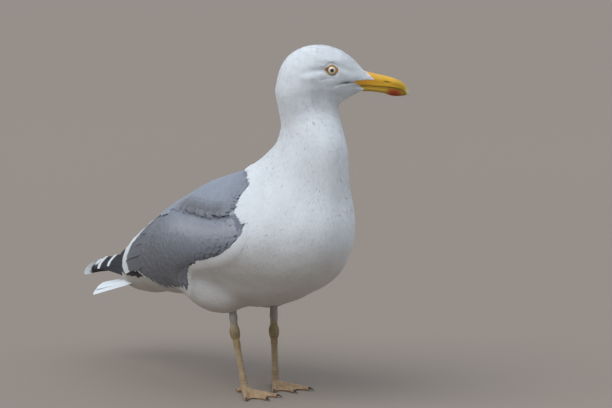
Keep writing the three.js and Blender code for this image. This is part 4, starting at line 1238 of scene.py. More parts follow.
def catmull(rows, t):
    """Smooth values between table rows at places t (in rows)."""
    a = np.array(rows, float)
    a = np.concatenate([[2 * a[0] - a[1]], a, [2 * a[-1] - a[-2]]])
    i = np.clip(t.astype(int), 0, len(rows) - 2)
    f = (t - i)[:, None]
    p0, p1, p2, p3 = a[i], a[i + 1], a[i + 2], a[i + 3]
    return 0.5 * (2 * p1 + (p2 - p0) * f + (2 * p0 - 5 * p1 + 4 * p2 - p3) * f ** 2 + (3 * p1 - p0 - 3 * p2 + p3) * f ** 3)


def bill_section(upper, half=17):
    """Half outline of one mandible: (across, up) from -1 to 1, from the ridge round to the biting side."""
    out = []
    for i in range(half):
        s = math.cos(math.pi / 2 * i / (half - 1))
        out.append(((1 - s ** 2.1) ** 0.66, s))
    for s in np.linspace(0, -0.93, 8)[1:]:
        out.append((1 - 0.10 * s * s, s))
    out += [(0.86, -0.99), (0.72, -0.985), (0.4, -0.95), (0.0, -0.94)]
    a = np.array(out)
    if not upper:
        a[:, 1] *= -1
        a[:, 0] = np.where(a[:, 1] > 0.2, a[:, 0] * 0.97, a[:, 0])       # the lower one shuts a little inside the upper
    return a


def nostril_dip(f, u):
    a = np.array([54.4, -7.0])
    b = np.array([59.6, -7.4])
    d = b - a
    t = np.clip(((f - a[0]) * d[0] + (u - a[1]) * d[1]) / (d @ d), 0, 1)
    dist = np.hypot(f - a[0] - t * d[0], (u - a[1] - t * d[1]) * 1.0)
    return np.exp(-(dist / lerp(0.62, 0.4, t)) ** 2)


BILL_WALL = []


def bill_piece(name, table, upper):
    rows = 92
    t = np.linspace(0, len(table) - 1, rows)
    st = catmull(table, t)
    half = bill_section(upper)
    ring = np.concatenate([half, half[-2:0:-1] * [-1, 1]])
    m = len(ring)
    side = ring[:, 0]
    lift = ring[:, 1]
    # at its base the bill is as wide as the face round it
    mf, mu = (st[:, 0] + st[:, 2]) / 2, np.full(rows, -8.6 if upper else -15.6)
    lo, hi = np.zeros(rows), np.full(rows, 16.0)
    for _ in range(16):
        m_ = (lo + hi) / 2
        out = body(head_point(mf, m_, mu)) > -0.55
        hi, lo = np.where(out, m_, hi), np.where(out, lo, m_)
    st[:, 4] = np.maximum(st[:, 4], lerp(np.minimum(hi, 12.6), st[:, 4], smooth(30, 43, mf)))
    if upper:
        BILL_WALL.append(np.stack([mf, (st[:, 1] + st[:, 3]) / 2, (st[:, 1] - st[:, 3]) / 2, st[:, 4]], 1))
    tf, tu, bf, bu, w = (st[:, i][:, None] for i in range(5))
    F = (tf + bf) / 2 + (tf - bf) / 2 * lift
    U = (tu + bu) / 2 + (tu - bu) / 2 * lift
    L = w * side
    # outer points only: where the side wall is nearly level with its neighbour
    wall = smooth(0.25, 0.6, np.abs(side))[None, :]
    if upper:
        dip = nostril_dip(F, U)
        groove = np.exp(-((U - (-9.0 - 0.03 * (F - 50))) / 0.7) ** 2) * smooth(36, 42, F) * smooth(72, 60, F)
        L = L - np.sign(L) * wall * (1.5 * dip + 0.18 * groove)
        L = L + np.sign(L) * wall * 0.22 * np.exp(-((U - bu - 1.0) / 0.8) ** 2) * smooth(30, 40, F)
    else:
        dip = 0 * F
        L = L - np.sign(L) * wall * 0.25 * np.exp(-((U - (tu - 2.2)) / 0.7) ** 2) * smooth(32, 40, F) * smooth(68, 60, F)
    v = head_point(F.ravel(), L.ravel(), U.ravel())
    idx = np.arange(rows * m).reshape(rows, m)
    nxt = np.roll(idx, -1, axis=1)
    quads = np.stack([idx[:-1], nxt[:-1], nxt[1:], idx[1:]], -1).reshape(-1, 4)
    caps = [idx[0][::-1], idx[-1]]
    v = np.concatenate([v, v[idx[0]].mean(0)[None], v[idx[-1]].mean(0)[None] + HF * 0.1 - HU * 0.15])
    a, b = rows * m, rows * m + 1
    tris = [(idx[0][j], a, idx[0][(j + 1) % m]) for j in range(m)] + [(idx[-1][j], idx[-1][(j + 1) % m], b) for j in range(m)]
    f, l, u = head_coords(v)
    # colours: yellow, warmer at the base, greenish white at the hook, red spot on the angle of the lower one
    c = np.repeat(YELLOW[None], len(v), 0)
    c = lerp(c, ORANGE, (smooth(52, 36, f) * (0.75 if upper else 0.15))[:, None])
    # the whole lower bill is more olive and darker: partly its own duller colour, partly painted shade for its place
    # below the upper bill
    c = lerp(c, OLIVE, (smooth(60, 68, f) * 0.45 + (0.70 if not upper else 0.0) + 0.25 * np.exp(-((u + 11.2) / 1.2) ** 2) + 0.35 * smooth(32, 24, f))[:, None].clip(0, 1))
    if upper:
        c = lerp(c, PALE_TIP, (smooth(72.5, 78.5, f - 0.25 * (u + 12)) * 0.9)[:, None])
        c = lerp(c, HORN_DARK, (0.85 * nostril_dip(f, u) ** 1.5 * (np.abs(l) > 2))[:, None])
        # the wedge of plumage at the base hides the horn: keep it pale there, with the painted shade of the face's
        # folds
        under = (~bare_face(f - 0.8, l, u)) & (f < 46)
        c = np.where(under[:, None], WHITE * 0.9 * face_shade(f, l, u)[:, None], c)
    else:
        spot = np.exp(-(((f - 64.3) / 7.4) ** 4 + ((u + 17.4) / 4.3) ** 4))
        c = lerp(c, RED, (spot * 1.0)[:, None].clip(0, 1))
        c = lerp(c, hexa("9a6a1c"), (smooth(70.5, 74.5, f) * 0.7)[:, None])
        # feathered base kept pale, with the painted shade of the face's folds
        c = np.where(((~bare_face(f - 0.8, l, u)) & (f < 36))[:, None], WHITE * 0.9 * face_shade(f, l, u)[:, None], c)
    c = lerp(c, HORN_DARK, (0.28 * smooth(66, 60, f) * smooth(0.55, 0.15, np.abs(u - np.interp(f, [26, 43, 61, 68, 74], [-13.35, -12.75, -11.95, -12.35, -14.2]))) * smooth(20, 24, f))[:, None].clip(0, 1))
    ob = mesh_object(name, v, [quads[:, ::-1] if False else quads, np.array(tris)], M_HORN,
                     uv=np.concatenate([np.stack([np.tile(np.linspace(0, 1, m), rows), np.repeat(np.linspace(0, 1, rows), m)], 1), [[0.5, 0], [0.5, 1]]]), tint=c)
    fix_normals(ob)
    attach(ob, "root")
    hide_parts(name)
    ob.name = name + "_horn"
    return ob


def fix_normals(ob):
    import bmesh
    b = bmesh.new()
    b.from_mesh(ob.data)
    bmesh.ops.recalc_face_normals(b, faces=b.faces)
    b.to_mesh(ob.data)
    b.free()


def build_bill():
    for name, table, upper in (("bill_upper", BILL_UPPER, True), ("bill_lower", BILL_LOWER, False)):
        PARTS.append(bill_piece(name, table, upper))
    wedge_tufts()


def wedge_tufts():
    """The face's feathering runs out over the root of the bill in a wedge on each side and a point along the ridge."""
    wall = BILL_WALL[0]
    rng = np.random.default_rng(61)

    def on_bill(f, u, side, out):
        mid, half, w = (np.interp(f, wall[:, 0], wall[:, i]) for i in (1, 2, 3))
        e = np.clip((u - mid) / half, -1, 1)
        across = np.where(e > 0, (1 - np.abs(e) ** 2.1) ** 0.66, 1 - 0.1 * e * e)
        nl = np.where(e > 0, 1 - e ** 2 * 0.9, 1.0)
        return f, side * (w * across + out * nl), u + out * np.where(e > 0, e, 0.1 * e)
    n = 5200
    f0, u0 = rng.uniform(25, 46, n), rng.uniform(-10.2, 1.0, n)
    side = np.where(rng.random(n) < 0.5, -1.0, 1.0)
    L = rng.uniform(2.2, 3.4, n)
    keep = ~bare_face(f0 + L * 0.85, np.full(n, 6.0), u0 - L * 0.12)
    f0, u0, side, L = f0[keep], u0[keep], side[keep], L[keep]
    n = len(f0)
    rows = 4
    pts, nrm = np.empty((n, rows, 3)), np.empty((n, rows, 3))
    turn = rng.normal(0, 0.10, n)
    for k in range(rows):
        t = k / (rows - 1)
        out = lerp(-0.35, rng.uniform(0.25, 0.45, n), t ** 0.7)
        ff, uu = f0 + L * t, u0 + L * t * (turn - 0.12)
        a = head_point(*on_bill(ff, uu, side, out))
        b = head_point(*on_bill(ff, uu, side, out + 0.5))
        pts[:, k], nrm[:, k] = a, unit(b - a)
    shade = 1 + rng.normal(0, 0.015, n)
    ob = coat_piece("wedge_0", pts[:, 0], pts, nrm, rng.uniform(0.6, 0.95, n), np.full(n, 0.07), np.array([0.6, 1.0, 0.8, 0.0]), WHITE * shade[:, None], M_WHITE)
    PARTS.append(ob)
    say("wedge", n)


# ------------------------------------------------------------------ eyes and their rings
def eye_frame(side):
    """Axis the eye looks along, and the two directions across it."""
    a = unit(HL * side + HF * 0.06 - HU * 0.02)
    fwd = unit(HF - a * (HF @ a))
    return a, fwd, np.cross(a, fwd) * side


def build_eye(name, side):
    c = head_point(EYE_AT[0], side * EYE_SIDE, EYE_AT[1])
    a, fwd, up = eye_frame(side)
    rings, m = 40, 56
    ang = np.r_[np.linspace(0, 0.26, 7), np.linspace(0.28, 0.75, 16), np.linspace(0.8, math.pi - 0.08, rings - 23)]
    th = np.arange(m) * 2 * math.pi / m
    # the clear front stands a little proud, with the iris seen just inside it
    r = EYE_R + 0.28 * np.exp(-(ang / 0.5) ** 4)
    v = c + (a * (np.cos(ang) * r)[:, None, None] + (fwd * np.cos(th)[:, None] + up * np.sin(th)[:, None])[None] * (np.sin(ang) * EYE_R)[:, None, None])
    v = v.reshape(-1, 3)
    rad_mm = np.repeat(np.sin(ang) * EYE_R * np.sign(math.pi / 2 - ang), m)
    rr = np.repeat(np.where(ang < math.pi / 2, np.sin(ang) * EYE_R, 99), m)
    t = np.tile(th, rings)
    iris = hexa("efe3cf")
    col = lerp(iris, hexa("d9c49c"), smooth(2.2, 4.1, rr + 0.12 * np.sin(t * 23) + 0.1 * np.sin(t * 41))[:, None] * 0.55)
    col = col * (0.93 + 0.07 * np.sin(t * 31 + np.sin(t * 7)))[:, None]
    col = lerp(col, hexa("8d7c50"), smooth(1.95, 1.8, rr)[:, None] * 0.8)
    col = lerp(np.array([0.004, 0.004, 0.005]), col, smooth(1.74, 1.84, rr)[:, None])
    col = lerp(col, hexa("3a2814"), smooth(3.72, 3.98, rr)[:, None])
    col = lerp(col, WHITE * 0.92, smooth(4.35, 4.6, rr)[:, None])
    idx = np.arange(rings * m).reshape(rings, m)
    nx = np.roll(idx, -1, axis=1)
    quads = np.stack([idx[1:-1], nx[1:-1], nx[2:], idx[2:]], -1).reshape(-1, 4)
    first = [(idx[0][0], idx[1][j], nx[1][j]) for j in range(m)]
    v = np.concatenate([v, (c - a * EYE_R)[None]])
    last = [(rings * m, nx[-1][j], idx[-1][j]) for j in range(m)]
    # ring 0 is one point repeated: only its first vertex is used
    ob = mesh_object(name + "_ball", v, [quads, np.array(first + last)], M_EYE, tint=np.concatenate([col, [hexa("2b2114")]]))
    drop_loose(ob)
    fix_normals(ob)
    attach(ob, "root")
    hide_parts(name)
    return ob


def drop_loose(ob):
    import bmesh
    b = bmesh.new()
    b.from_mesh(ob.data)
    bmesh.ops.delete(b, geom=[x for x in b.verts if not x.link_faces], context="VERTS")
    b.to_mesh(ob.data)
    b.free()


def build_lid(name, side):
    """The bare swollen ring round the eye: an almond with a corner before and behind, rolled over the eyeball."""
    m, k = 96, 13
    th = np.arange(m) * 2 * math.pi / m
    ct, stt = np.cos(th), np.sin(th)
    # inner edge: nearly a circle on the ball, slightly pulled to the corners; outer edge: an almond on the cheek
    pull = np.abs(ct) ** 9
    rin_f, rin_u = (3.86 + 0.5 * pull) * ct, 3.84 * stt
    almond = 1 - 0.10 * np.abs(np.sin(2 * th)) ** 1.2
    rof, rou = (LID_F + 0.25) * ct * almond, np.where(stt > 0, LID_TOP, LID_LOW) * stt * almond
    rows = []
    for j in range(k):
        e = j / (k - 1)
        f, u = lerp(rin_f, rof, e), lerp(rin_u, rou, e)
        ball_l = EYE_SIDE + np.sqrt(np.maximum((EYE_R + 0.12) ** 2 - f * f - u * u, 0.0))
        f, u = f + EYE_AT[0], u + EYE_AT[1]
        lo, hi = np.full(m, 8.0), np.full(m, 30.0)         # height of the cheek under this place
        for _ in range(18):
            mid = (lo + hi) / 2
            out = body(head_point(f, side * mid, u)) > -1.0
            hi, lo = np.where(out, mid, hi), np.where(out, lo, mid)
        h = lerp(ball_l, hi, float(smooth(0.1, 0.95, e)))
        h = h + 0.5 * math.sin(math.pi * min(1, e * 1.05)) ** 0.7 - 0.9 * max(0, e - 0.86) / 0.14 * 0.8
        if e < 0.97:
            h = np.maximum(h, ball_l + 0.12)               # never under the ball it lies on
        if j == 0:
            h = ball_l - 0.35
        rows.append(head_point(f, side * h, u))
    v = np.array(rows)
    idx = np.arange(k * m).reshape(k, m)
    nx = np.roll(idx, -1, axis=1)
    quads = np.stack([idx[:-1], nx[:-1], nx[1:], idx[1:]], -1).reshape(-1, 4)
    e = np.repeat(np.linspace(0, 1, k), m)
    t = np.tile(th, k)
    col = np.repeat(hexa("c98a24")[None], k * m, 0)
    col = lerp(col, hexa("9a7434"), (smooth(0.2, 0.9, np.sin(t)) * 0.9)[:, None])
    col = lerp(col, hexa("a9a04a"), (smooth(0.3, 0.9, -np.sin(t)) * 0.6)[:, None])
    col = lerp(col, hexa("a5501c"), (smooth(0.80, 0.98, -np.cos(t)) * 0.9)[:, None])
    col = lerp(col, hexa("d8902a"), (smooth(0.80, 0.98, np.cos(t)) * 0.9)[:, None])
    col = lerp(col, hexa("3a2a14"), (smooth(0.16, 0.0, e) * lerp(0.9, 0.7, smooth(0.2, 0.9, np.sin(t))))[:, None])
    col = lerp(col, WHITE * 0.96, (smooth(0.70, 0.84, e) * smooth(0.25, 0.75, np.sin(t)))[:, None])
    ob = mesh_object(name, v.reshape(-1, 3), quads, M_LID, tint=col)
    fix_normals(ob)
    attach(ob, "root")
    return ob


# ------------------------------------------------------------------ claws
def build_claws(s):
    toes, hind = toes_of(s)
    ft = FOOT[s]
    names = ("middle", "inner", "outer", "hind")
    jobs = [(h, length, 9.5, 1.55) for h, length, _ in toes] + [(hind[0], hind[1], 5.5, 1.45)]
    vs, qs = [], []
    rows, m = 16, 14
    for h, length, size, r0 in jobs:
        t = toe_dir(h)
        side = np.array([t[1], -t[0], 0])
        base = np.array([ft[0], ft[1], 0]) + t * (length - 0.9)
        lift = 2.1 if size > 6 else 2.5
        for i in range(rows):
            e = i / (rows - 1)
            r = r0 * (1 - e) ** 0.75 + 0.05
            cz = lift + 1.0 * math.sin(e * math.pi * 0.75) - e * e * (lift + 0.45) + 0.1
            c = base + t * size * e + np.array([0, 0, cz])
            for j in range(m):
                a = 2 * math.pi * j / m
                q = c + side * (r * 0.72 * math.cos(a)) + np.array([0, 0, 1.0]) * (r * (1.0 if math.sin(a) > 0 else 0.75) * math.sin(a))
                q[2] = max(q[2], 0.12)
                vs.append(q)
        b = len(vs) - rows * m
        idx = np.arange(b, b + rows * m).reshape(rows, m)
        nx = np.roll(idx, -1, axis=1)
        qs.append(np.stack([idx[:-1], nx[:-1], nx[1:], idx[1:]], -1).reshape(-1, 4))
        qs.append(np.stack([idx[-1][:m // 2], idx[-1][::-1][:m // 2], np.roll(idx[-1][::-1], -1)[:m // 2], np.roll(idx[-1], -1)[:m // 2]], -1)[:0])
    tips = []
    ob = mesh_object("claws_" + s, np.array(vs), [q for q in qs if len(q)], M_CLAW)
    import bmesh
    b = bmesh.new()
    b.from_mesh(ob.data)
    bmesh.ops.holes_fill(b, edges=b.edges, sides=0)
    bmesh.ops.recalc_face_normals(b, faces=b.faces)
    b.to_mesh(ob.data)
    b.free()
    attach(ob, "root")
    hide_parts(*["claw_%s_%s" % (s, n) for n in names])
    return ob


build_bill()
for _n, _s in (("R", -1), ("L", 1)):
    PARTS.append(build_eye("eye_" + _n, _s))
    PARTS.append(build_lid("eye_ring_" + _n, _s))
    PARTS.append(build_claws(_n))
say("bill, eyes, claws")


# ------------------------------------------------------------------ broad feathers
def sheet_place(p):
    u, v, _ = unwrap(p)
    return v * (len(SPINE) - 1), (u - 0.5) * 2 * math.pi


def bezier(a, b, c, rows):
    t = np.linspace(0, 1, rows)[None, :, None]
    return a[:, None] * (1 - t) ** 2 + 2 * b[:, None] * t * (1 - t) + c[:, None] * t * t


def lay_on(pts, lo, hi, ramp=0.5):
    """Drops centre lines on the body: at least this level of the field, from lo at the root to hi at the tip."""
    n, rows, _ = pts.shape
    t = smooth(0, ramp, np.linspace(0, 1, rows))
    lev = lerp(np.reshape(lo, (-1, 1)), np.reshape(hi, (-1, 1)), t[None])
    q = pts.reshape(-1, 3).copy()
    lev = np.broadcast_to(lev, (n, rows)).ravel()
    for _ in range(2):
        g = gradient(body, q)
        q = q - g * (np.clip(body(q) - lev, -12, 12) / np.maximum(dot(g, g), 0.05))[:, None]
    nrm = unit(gradient(body, q, 1.5))
    return q.reshape(n, rows, 3), nrm.reshape(n, rows, 3)


def vanes(name, pts, nrm, width, tint, cols=5, thick=0.22, root_w=0.45, tip_w=0.8, round_=0.22, camber=0.10, ragged=0.012, islands=None, root_place=None,
          material=None, skew=0.0, paint=None, seed=1, rachis=0.10, slant=0.0, grid=None, uneven=0.010):
    """Closed thin feathers: a grid from quill to tip and edge to edge, with an underside. paint(t, x, tint, rng, places) colours the grid."""
    n, given, _ = pts.shape
    rng = np.random.default_rng(seed)
    rows = grid or given
    T = np.linspace(0, 1, rows)
    if grid:
        T = 1 - (1 - T) ** 1.7                       # closer together toward the tip
    X = np.linspace(-1, 1, cols)
    t = unit(np.gradient(pts, axis=1))
    b = unit(np.cross(nrm, t))
    nn = unit(np.cross(t, b))
    prof = np.where(T < 0.45, lerp(root_w, 1.0, np.sin(T / 0.45 * math.pi / 2)), lerp(1.0, tip_w, smooth(0.45, 1.0, T)))
    # each place on the grid slides back along the feather toward its edges, which rounds or slants the tip
    back = round_ * (X ** 2)[None, None, :] * smooth(0.5, 1, T)[None, :, None]
    back = back + abs(slant) * (1 - X * np.sign(slant))[None, None, :] / 2 * smooth(0.3, 1, T)[None, :, None]
    back = back + ragged * rng.uniform(-1, 1, (n, 1, cols)) * smooth(0.6, 1, T)[None, :, None]
    s = np.clip(T[None, :, None] - back, 0, 1) * (given - 1)
    i = np.clip(s.astype(int), 0, given - 2)
    f = (s - i)[..., None]
    take = lambda arr: lerp(arr[np.arange(n)[:, None, None], i], arr[np.arange(n)[:, None, None], i + 1], f)
    c, bb, up = take(pts), unit(take(b)), unit(take(nn))
    w = (width[:, None] * prof[None])[..., None] / 2
    x = X[None, None, :]
    across = bb * (w * (x + skew * (1 - x * x)))[..., None]
    h = -camber * w * x ** 2 + rachis * (np.abs(x) < 0.3) * (1 - T[None, :, None] ** 2)
    h = h + uneven * w * rng.normal(0, 1, (n, 1, cols)) * (np.abs(x) > 0.3)
    top = c + across + up * h[..., None]
    th = thick * (1 - 0.6 * np.abs(x)) * (1 - 0.5 * T)[None, :, None]
    low = top - up * (np.broadcast_to(th, h.shape))[..., None]
    v = np.stack([top, low], 1).reshape(n, 2 * rows * cols, 3)
    lean = unit(up + bb * (2 * camber * x)[..., None] + unit(take(t)) * rng.normal(0, 0.02, (n, 1, 1, 1)))
    vn = np.stack([lean, -lean], 1).reshape(-1, 3)
    per = 2 * rows * cols
    g = np.arange(rows * cols).reshape(rows, cols)
    a, bq, cq, d = g[:-1, :-1], g[:-1, 1:], g[1:, 1:], g[1:, :-1]
    upper = np.stack([a, d, cq, bq], -1).reshape(-1, 4)
    o = rows * cols
    lower = np.stack([a, bq, cq, d], -1).reshape(-1, 4) + o
    loop = np.concatenate([g[0, :], g[1:, -1], g[-1, -2::-1], g[-2:0:-1, 0]])
    nxt = np.roll(loop, -1)
    rim = np.stack([loop, nxt, nxt + o, loop + o], -1)
    q = np.concatenate([upper, lower, rim])
    allq = (q[None] + (np.arange(n) * per)[:, None, None]).reshape(-1, 4)
    tt = np.broadcast_to(T[None, :, None], (n, rows, cols))
    xx = np.broadcast_to(X[None, None, :], (n, rows, cols))
    col = np.repeat(tint[:, None], rows * cols, 1).reshape(n, rows, cols, 3)
    if paint is not None:
        col = paint(tt, xx, col, rng, top)
    col = np.repeat(col.reshape(n, 1, rows * cols, 3), 2, 1).reshape(-1, 3)
    uv = np.stack([np.tile((X + 1) / 2, rows), np.repeat(T, cols)], 1)
    uv = np.concatenate([uv, uv])
    if islands is None:
        bake = bake_places(root_place if root_place is not None else pts[:, 0], uv, per)
    else:
        r, cc = islands
        k = np.arange(n)
        cell = np.stack([(k % cc) / cc, (k // cc) / r], 1)
        half = uv.copy()
        half[:, 0] *= 0.46
        half[rows * cols:, 0] += 0.5
        bake = (cell[:, None] + (half[None] * 0.94 + 0.02) * [1 / cc, 1 / r]).reshape(-1, 2)
    ob = mesh_object(name, v.reshape(-1, 3), allq, material, uv=np.tile(uv, (n, 1)), bake_uv=bake, tint=col, normals=vn)
    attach(ob, "root")
    say(name, n, "vanes", len(allq) * 2, "triangles")
    PARTS.append(ob)
    return ob


def paint_grey(t, x, col, rng, at):
    streak = 1 + 0.022 * rng.normal(0, 1, (col.shape[0], 1, col.shape[2], 1))
    fringe = smooth(0.86, 1.0, t)[..., None]
    base = smooth(0.5, 0.0, t)[..., None]
    col = col * streak * (1 - 0.08 * base)
    return lerp(col, GREY_PALE * 1.08, fringe * 0.30)


def paint_covert(t, x, col, rng, at):
    """The coverts are in the shade of the shoulder feathers just under their border."""
    col = paint_grey(t, x, col, rng, at)
    q = at.reshape(-1, 3)
    d, _ = polyline_distance(flat_map(q), SCAP_LINE)
    k = np.where(d > 0.8, np.exp(-((d - 0.8) / 2.6) ** 2), 1.0) * smooth(66, 25, q[:, 1]) * smooth(-56, -44, q[:, 1])
    return col * (1 - 0.72 * k.reshape(col.shape[:3])[..., None])


def band_distance(p):
    """Distance from the middle of the white band of the tertial tips, and the band's half-width there."""
    q = flat_map(p.reshape(-1, 3))
    d, run = polyline_distance(q, BAND_LINE)
    seg = np.r_[0, np.cumsum(np.linalg.norm(np.diff(BAND_LINE, axis=0), axis=1))]
    half = np.interp(run, seg, [r[3] for r in TIP_BAND])
    return d.reshape(p.shape[:-1]), half.reshape(p.shape[:-1])


BAND_OUT = float(np.sign(band_distance(np.array([[26.0, 214.0, 118.0]]))[0][0]))   # +1 or -1 on the rear side of the band


def grey_dir(p, n):
    """Lie of the grey feathers: along the back, slanting down over the wing."""
    k = station(p)
    w = -at_station(TAN, k)
    down = np.array([0, 0, -1.0]) - n * n[:, 2:] * -1.0
    down = unit(down - n * dot(down, n)[:, None])
    w = unit(w - n * dot(w, n)[:, None])
    q = flat_map(p)
    side, _ = polyline_distance(q, SCAP_LINE)
    cov = smooth(-4, 8, side)
    slope = cov * lerp(rad(14), rad(34), smooth(20, 120, p[:, 1]))
    return w * np.cos(slope)[:, None] + down * np.sin(slope)[:, None]


def grey_grid(space, seed):
    """Feather places in staggered rows over the grey, on both sides."""
    rng = np.random.default_rng(seed)
    ks, angs = [], []
    row = 0
    for mm in np.arange(96, 352, space * 0.80):
        k = mm / 2.0
        aa = np.linspace(0, math.pi * 0.9, 40)
        p = ray(np.full(40, k), aa)
        run = np.r_[0, np.cumsum(np.linalg.norm(np.diff(p, axis=0), axis=1))]
        at = np.arange((row % 2) * 0.5 * space, run[-1], space)
        a = np.interp(at, run, aa)
        j = rng.uniform(-0.22, 0.22, len(a)) * space
        ks.append(np.full(len(a), k) + j / 2)
        angs.append(a + rng.uniform(-0.18, 0.18, len(a)) * space / 60)
        row += 1
    k, a = np.concatenate(ks), np.concatenate(angs)
    both = np.concatenate([k, k]), np.concatenate([a, -a])
    return ray(*both)


def march(root, dirfn, length, rows, lo, hi, ramp=0.6):
    n = len(root)
    pts, nrm = np.empty((n, rows, 3)), np.empty((n, rows, 3))
    p = root.copy()
    for k in range(rows):
        t = k / (rows - 1)
        g = gradient(body, p)
        lev = lerp(lo, hi, float(smooth(0, ramp, t)))
        p = p - g * (np.clip(body(p) - lev, -8, 8) / np.maximum(dot(g, g), 0.05))[:, None]
        nn = unit(g)
        pts[:, k], nrm[:, k] = p, nn
        if k < rows - 1:
            p = p + dirfn(p, nn) * (length / (rows - 1))[:, None]
    return pts, nrm


def scap_field():
    """The lower border of the shoulder feathers as places and directions, right side given for positive x."""
    a = settle(np.array(SCAP_EDGE, float), 0, rounds=3)
    run = np.r_[0, np.cumsum(np.linalg.norm(np.diff(a, axis=0), axis=1))]
    at = np.arange(0, run[-1], 1.9)
    q = np.stack([np.interp(at, run, a[:, i]) for i in range(3)], 1)
    for _ in range(6):
        q[1:-1] = (q[:-2] + q[1:-1] * 2 + q[2:]) / 4
    return q, unit(np.gradient(q, axis=0))


SCAP_AT, SCAP_DIR = scap_field()


def edge_dir(p, n):
    """Near the border of the shoulder feathers they lie along it."""
    w = grey_dir(p, n)
    k = np.abs(p) * [1, 0, 0] + p * [0, 1, 1]
    best = np.argmin(((k[:, None] - SCAP_AT[None]) ** 2).sum(2), axis=1)
    d = SCAP_DIR[best] * np.stack([np.sign(p[:, 0]), np.ones(len(p)), np.ones(len(p))], 1)
    gap = np.linalg.norm(k - SCAP_AT[best], axis=1)
    m = (np.exp(-(gap / 14) ** 2) * smooth(110, 70, p[:, 1]))[:, None]
    w = w * (1 - m) + d * m
    return unit(w - n * dot(w, n)[:, None])


